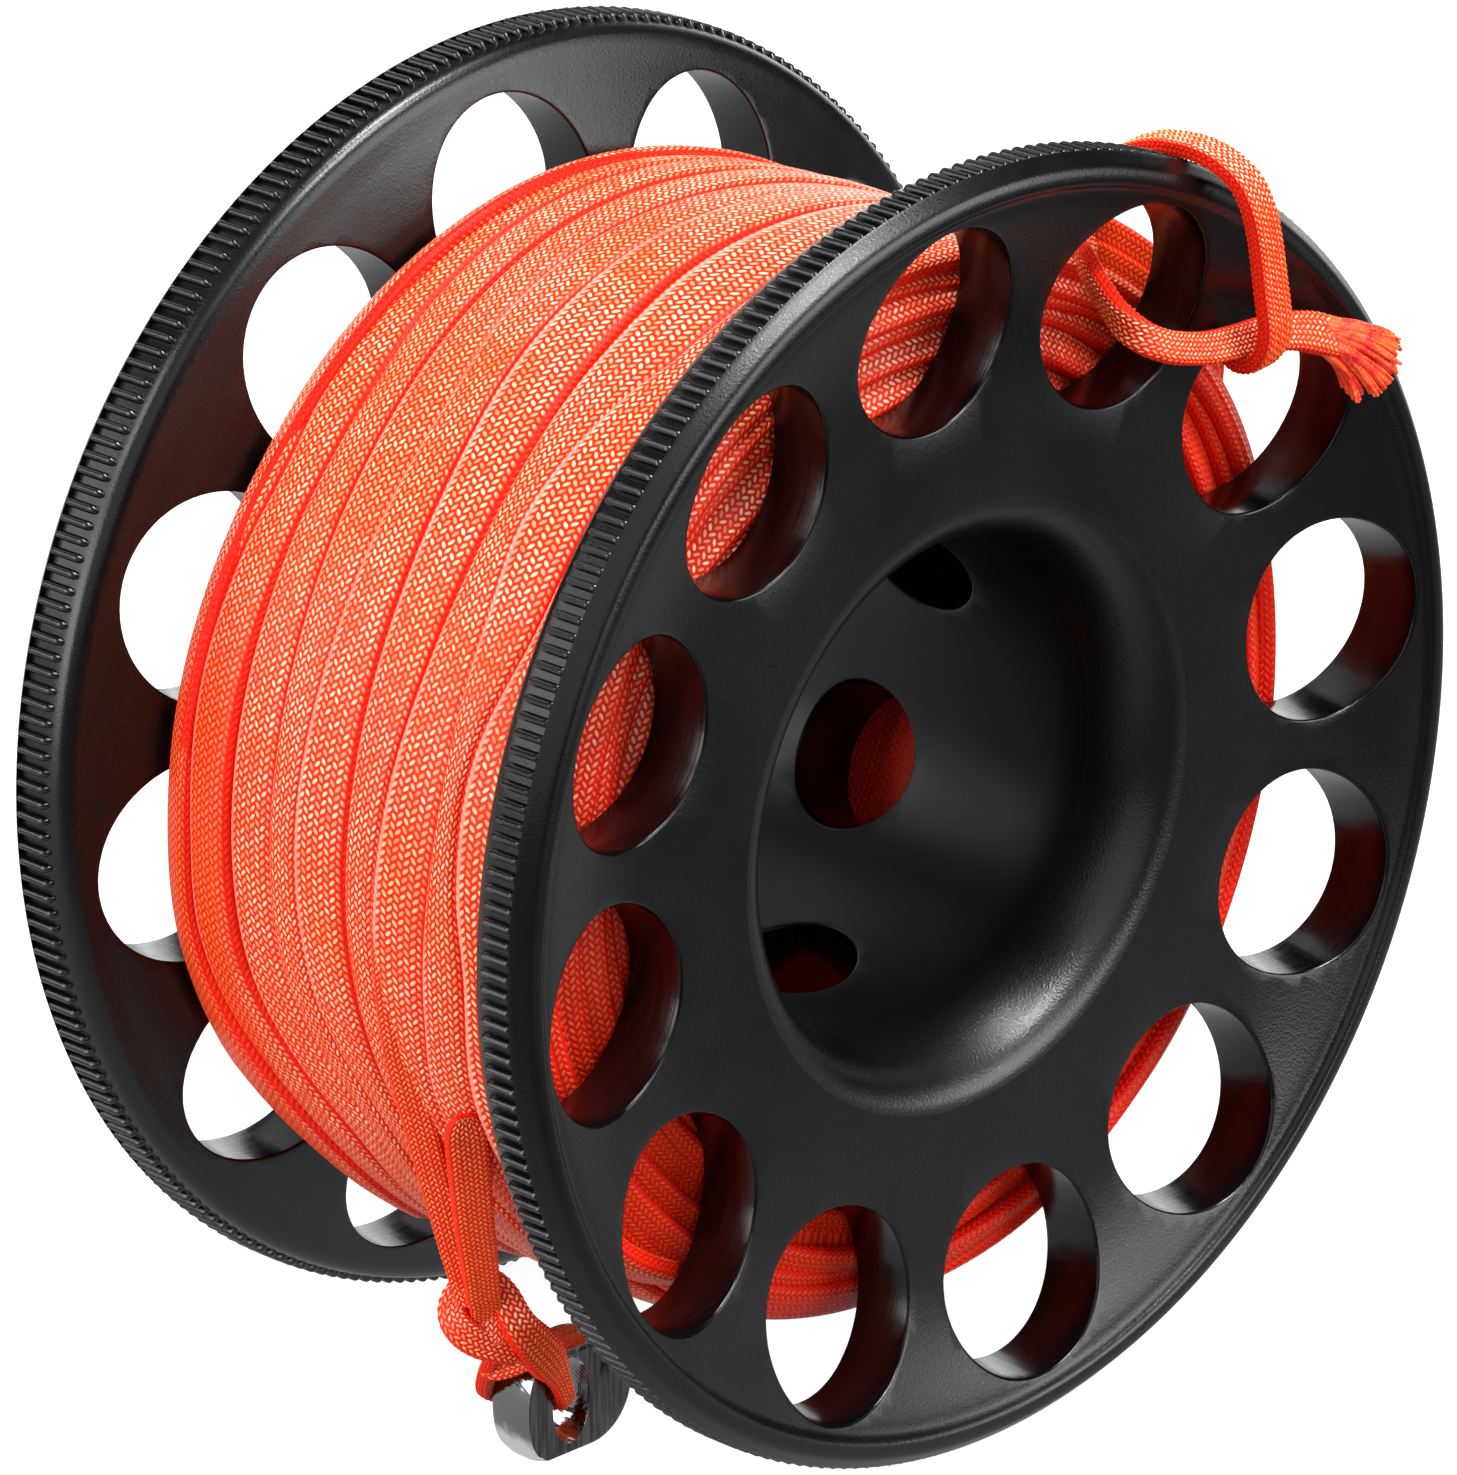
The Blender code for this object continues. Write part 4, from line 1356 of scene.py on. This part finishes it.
    def core(self):
        """Turn the hidden core, ribbed like wound line where the hub's holes show it."""
        sizes = line_sizes()
        bottom, end, wrapped_radius = 0.0219, 0.0142, 0.0225
        outline = []
        for step in range(28):
            ribs = 0.0003 * abs(math.sin(step * math.pi / 3))
            outline.append((bottom + ribs, -end + 2 * end * step / 27))
        outline += [(0.0335, end), (0.0340, 0.010), (0.0342, 0), (0.0340, -0.010), (0.0335, -end)]
        core = lathe("inner_winding", outline, 120)
        layer = core.data.uv_layers.new(name="stitches")
        for polygon in core.data.polygons:
            spots = []
            for index in polygon.vertices:
                place = core.data.vertices[index].co
                spots.append([place.y / sizes.stitch_width, math.atan2(place.z, place.x)])
            if max(spot[1] for spot in spots) - min(spot[1] for spot in spots) > 3:
                for spot in spots:
                    if spot[1] < 0:
                        spot[1] += 2 * math.pi
            for loop, spot in zip(polygon.loop_indices, spots):
                layer.data[loop].uv = (spot[0], spot[1] * wrapped_radius / sizes.stitch_length)
        smooth(core, 50)
        # No painted highlight on the flecks, few flecks, and a deeper red with some painted shade.
        finish(core, "spool", "line_red", braided(
            "braid_core", relief=0.00012, pale=0, dashes=0.3, shade=0.3))
        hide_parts("line_core")


class FINGERSPOOL_OT_flanges(bpy.types.Operator):
    """Turn both flanges, drill and break the edges of their holes, and cut the rim's teeth."""

    bl_idname = "fingerspool.flanges"
    bl_label = "Flanges"

    def centres(self):
        sizes = spool_sizes()
        return [
            outward_at(sizes.hole_first_angle + 30 * number) * sizes.hole_circle
            for number in range(12)]

    def nearest(self, place):
        """Give the nearest hole's middle and the distance from it, seen along the axis."""
        flat = flat_part(place)
        centre = min(self.centres(), key=lambda point: (point - flat).length)
        return centre, (flat - centre).length

    def execute(self, context):
        far = self.plate()
        near = copy_of(far, "near_plate")
        teeth = self.teeth()
        near_teeth = copy_of(teeth, "near_teeth")
        for obj in (near, near_teeth):
            edit(obj)
            bpy.ops.mesh.select_all(action="SELECT")
            bpy.ops.transform.resize(value=(1, -1, 1), center_override=(0, 0, 0))
            face_outwards()
            smooth(obj, 40)
        for plate, teeth, name in ((near, near_teeth, "near_flange"), (far, teeth, "far_flange")):
            finish(plate, "spool", "anodised_black", blasted_black(name + "_blasted"),
                   turned_black(name + "_turned"))
            finish(teeth, "spool", "anodised_black", blasted_black(name + "_teeth", 0.28, 0.5, 0.6))
            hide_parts(name)
        return {"FINISHED"}

    def plate(self):
        sizes = spool_sizes()
        plate = lathe("far_plate", OUTER_FACE + RIM + INNER_FACE, 240)
        rim = sizes.hole_radius + sizes.edge_break

        def is_wall(face):
            off = [abs(self.nearest(vertex.co)[1] - rim) < HOLE_TOLERANCE for vertex in face.verts]
            return all(off) and abs(face.normal.y) < 0.2

        def settle(vertex, inset, depth):
            centre = self.nearest(vertex.co)[0]
            place = centre + (flat_part(vertex.co) - centre).normalized() * (rim - inset)
            outer = read_line(OUTER_FACE, place.length)
            inner = read_line(INNER_FACE[::-1], place.length)
            height = outer - depth if vertex.co.y > (outer + inner) / 2 else inner + depth
            vertex.co = (place.x, height, place.z)

        plate_middle, cutter_depth = Vector((0, 0.019, 0)), 0.02
        cut_with(plate, join("hole_cutters", [
            drill(rim, cutter_depth, 72, ALONG_AXIS, centre + plate_middle)
            for centre in self.centres()]))
        edit(plate)
        select_only(plate, "FACE", is_wall)
        bpy.ops.mesh.delete(type="FACE")
        round_holes(plate, sizes.edge_break, settle)
        select_only(plate, "FACE", lambda face: all(
            self.nearest(vertex.co)[1] < rim + 0.00001 for vertex in face.verts))
        mark_selected(plate, 1)
        bridge_holes(
            plate, self.centres(), lambda middle, centre: (middle - centre).length < 1.1 * rim)
        smooth(plate, 40)
        return plate

    def teeth(self):
        """Shape one tooth from a grid and spin copies of it round the rim."""
        sizes = spool_sizes()
        deselect_all()
        bpy.ops.mesh.primitive_grid_add(
            x_subdivisions=6, y_subdivisions=len(TOOTH_LINE) - 1, size=1)
        tooth = name_piece(bpy.context.object, "far_teeth")
        half = sizes.tooth_width / 2
        # Across the tooth, as (share of its half width, drop from its top)
        lanes = (
            (-1, -0.00048), (-0.88, -0.00020), (-0.52, -0.00006), (0, 0), (0.52, -0.00006),
            (0.88, -0.00020), (1, -0.00048))
        for vertex in tooth.data.vertices:
            across, drop = lanes[round((vertex.co.x + 0.5) * 6)]
            radius, along, taper = TOOTH_LINE[round((vertex.co.y + 0.5) * (len(TOOTH_LINE) - 1))]
            vertex.co = (radius + drop, along, across * half * taper)
        edit(tooth)
        bpy.ops.mesh.select_all(action="SELECT")
        count = sizes.tooth_count
        bpy.ops.mesh.spin(
            steps=count - 1, dupli=True, angle=2 * math.pi * (count - 1) / count,
            center=(0, 0, 0), axis=(0, 1, 0))
        face_outwards()
        smooth(tooth, 55)
        return tooth


class FINGERSPOOL_OT_hub(bpy.types.Operator):
    """Turn the hub with its flared bore and drill its six holes."""

    bl_idname = "fingerspool.hub"
    bl_label = "Hub"

    def execute(self, context):
        sizes = spool_sizes()
        bore, fillet, depth = sizes.bore_radius, sizes.mouth_radius, sizes.mouth_depth
        mouth = bore + fillet
        flare = [
            (mouth - fillet * sine, PLATE_FACE - depth + depth * cosine)
            for cosine, sine in turns(0, 91, 5)]
        outline = [(mouth, -PLATE_BACK)]
        outline += [(radius, -height) for radius, height in flare]
        outline += [(bore, (PLATE_FACE - depth) * (step / 6 - 1)) for step in range(1, 12)]
        outline += flare[::-1]
        outline += [(mouth, PLATE_BACK), (HUB_RADIUS, 0.0150), (HUB_RADIUS, -0.0150)]
        hub = lathe("turned_hub", outline, 192)
        rim = sizes.hub_hole_radius + sizes.edge_break
        wall_middle, cutter_depth = 0.019, 0.012
        cut_with(hub, join("hub_hole_cutters", [
            drill(rim, cutter_depth, 64, (0, math.radians(90) - math.radians(angle), 0),
                  outward_at(angle) * wall_middle + centre)
            for angle, centre in self.holes()]))
        self.draw_in(hub, rim, bore)
        bore_end, bore_wall = 0.0145, 0.0170
        for polygon in hub.data.polygons:
            middle = polygon.center
            inside = abs(middle.y) < bore_end and flat_part(middle).length < bore_wall
            if polygon.material_index == 0 and inside:
                polygon.material_index = 2
        smooth(hub, 40)
        finish(hub, "spool", "anodised_black", blasted_black("hub_blasted", 0.33, 0.8, 0.6),
               turned_black("hub_turned"), blasted_black("hub_bore", 0.40, 0.02, 0.30))
        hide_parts("hub_barrel")
        return {"FINISHED"}

    def holes(self):
        """Give each hole's angle and the point that it aims at on the axis."""
        return [
            (-25 + 60 * number, Vector((0, 0.004 if number % 2 == 0 else -0.002, 0)))
            for number in range(6)]

    def local(self, place):
        """Give the nearest hole's direction, its centre, and the place's offset across the hole."""
        frames = [(outward_at(angle), centre) for angle, centre in self.holes()]
        outward, centre = max(frames, key=lambda pair: place.dot(pair[0]))
        offset = place - centre
        return outward, centre, offset - outward * offset.dot(outward)

    def draw_in(self, hub, rim, bore):
        """Round the holes' edges and close the walls between them."""

        def is_wall(face):
            for vertex in face.verts:
                if abs(self.local(vertex.co)[2].length - rim) > HOLE_TOLERANCE:
                    return False
            outward = self.local(face.calc_center_median())[0]
            return abs(face.normal.dot(outward)) < 0.3

        def settle(vertex, inset, depth):
            outward, centre, offset = self.local(vertex.co)
            inner = flat_part(vertex.co).length < (bore + HUB_RADIUS) / 2
            offset = offset.normalized() * (rim - inset)
            surface = bore if inner else HUB_RADIUS
            height = math.sqrt(surface ** 2 - flat_part(offset).length_squared)
            vertex.co = centre + outward * (height + (depth if inner else -depth)) + offset

        edit(hub)
        select_only(hub, "FACE", is_wall)
        bpy.ops.mesh.delete(type="FACE")
        round_holes(hub, spool_sizes().edge_break, settle)
        bridge_holes(
            hub, [outward_at(angle) for angle, centre in self.holes()],
            lambda middle, outward: middle.normalized().dot(outward) > 0.88)


class FINGERSPOOL_OT_studio(bpy.types.Operator):
    """Lay the pale floor and hang the soft lights."""

    bl_idname = "fingerspool.studio"
    bl_label = "Studio"

    def execute(self, context):
        self.floor()
        for lamp in LAMPS:
            self.lamp(*lamp)
        world = bpy.data.worlds.new("studio_air")
        context.scene.world = world
        world.use_nodes = True
        tree = world.node_tree
        tree.nodes.clear()
        output = tree.nodes.new("ShaderNodeOutputWorld")
        light = tree.nodes.new("ShaderNodeBackground")
        light.inputs["Color"].default_value = (1, 1, 1, 1)
        path = tree.nodes.new("ShaderNodeLightPath")
        soft = times(tree, path.outputs["Is Diffuse Ray"], 0.22)
        soft = maths(tree, "ADD", soft, 0.006)
        shown = maths(tree, "MAXIMUM", path.outputs["Is Camera Ray"], soft)
        link(tree, shown, light.inputs["Strength"])
        link(tree, light.outputs["Background"], output.inputs["Surface"])
        context.scene.view_settings.view_transform = "Standard"
        return {"FINISHED"}

    def floor(self):
        deselect_all()
        bpy.ops.mesh.primitive_plane_add(size=8, location=(0, 0, FLOOR_HEIGHT))
        floor = name_piece(bpy.context.object, "studio_floor")
        place_in_mesh(floor)
        material, tree, shader = node_material("studio_floor_paint")
        pale = colours().floor
        tone = mix_colour(tree, object_noise(tree, 6, 2), tinted(pale, 0.99), tinted(pale, 1))
        plain_look(shader, 0.9, 0.1)
        glow = tree.nodes.new("ShaderNodeEmission")
        glow.inputs["Color"].default_value = (1, 1, 1, 1)
        path = tree.nodes.new("ShaderNodeLightPath")
        # Glossy rays see the floor dark with a glow that grows towards +Y: a painted reflection for
        # the metal, while camera rays see it evenly bright.
        lit = spread(tree, object_place(tree)["Y"], -0.11, 0.02, 0.0, 0.62)
        lit = times(tree, path.outputs["Is Glossy Ray"], lit)
        dim = mix_colour(tree, path.outputs["Is Glossy Ray"], tone, (0.04, 0.04, 0.04, 1))
        link(tree, dim, shader.inputs["Base Color"])
        seen = times(tree, path.outputs["Is Camera Ray"], 0.94)
        link(tree, maths(tree, "ADD", seen, lit), glow.inputs["Strength"])
        both = tree.nodes.new("ShaderNodeAddShader")
        link(tree, shader.outputs["BSDF"], both.inputs[0])
        link(tree, glow.outputs["Emission"], both.inputs[1])
        link(tree, both.outputs["Shader"], tree.nodes["Material Output"].inputs["Surface"])
        floor.data.materials.append(material)

    def lamp(self, name, direction, distance, width, height, power):
        """Hang a soft light in a direction from the spool, facing it."""
        place = Vector(direction).normalized() * distance
        deselect_all()
        bpy.ops.object.light_add(type="AREA", location=place)
        lamp = bpy.context.object
        lamp.name = name
        lamp.data.shape = "RECTANGLE"
        lamp.data.size = width
        lamp.data.size_y = height
        lamp.data.energy = power
        lamp.visible_camera = False
        lamp.rotation_euler = (-place).to_track_quat("-Z", "Y").to_euler()


class FINGERSPOOL_PT_panel(bpy.types.Panel):
    """Lists the sizes, colours and pieces in the sidebar."""

    bl_idname = "FINGERSPOOL_PT_panel"
    bl_label = "Finger Spool"
    bl_space_type = "VIEW_3D"
    bl_region_type = "UI"
    bl_category = "Finger Spool"

    def draw(self, context):
        layout = self.layout
        for group in (spool_sizes(), line_sizes(), colours()):
            box = layout.box()
            for name in group.bl_rna.properties.keys():
                if name not in ("rna_type", "name"):
                    box.prop(group, name)
        for operator in OPERATORS:
            layout.operator(operator.bl_idname)


OPERATORS = (
    FINGERSPOOL_OT_camera, FINGERSPOOL_OT_free_line, FINGERSPOOL_OT_leader, FINGERSPOOL_OT_weight,
    FINGERSPOOL_OT_winding, FINGERSPOOL_OT_flanges, FINGERSPOOL_OT_hub, FINGERSPOOL_OT_studio,
)
CLASSES = (SpoolSizes, LineSizes, SpoolColours) + OPERATORS + (FINGERSPOOL_PT_panel,)


def register():
    for item in CLASSES:
        bpy.utils.register_class(item)
    bpy.types.Scene.finger_spool_sizes = bpy.props.PointerProperty(type=SpoolSizes)
    bpy.types.Scene.finger_spool_line = bpy.props.PointerProperty(type=LineSizes)
    bpy.types.Scene.finger_spool_colours = bpy.props.PointerProperty(type=SpoolColours)


def unregister():
    del bpy.types.Scene.finger_spool_colours
    del bpy.types.Scene.finger_spool_line
    del bpy.types.Scene.finger_spool_sizes
    for item in reversed(CLASSES):
        bpy.utils.unregister_class(item)


def main():
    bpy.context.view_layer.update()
    register()
    bpy.ops.fingerspool.camera()
    bpy.ops.fingerspool.free_line()
    bpy.ops.fingerspool.leader()
    bpy.ops.fingerspool.weight()
    bpy.ops.fingerspool.winding()
    bpy.ops.fingerspool.flanges()
    bpy.ops.fingerspool.hub()
    bpy.ops.fingerspool.studio()


if __name__ == "__main__":
    main()
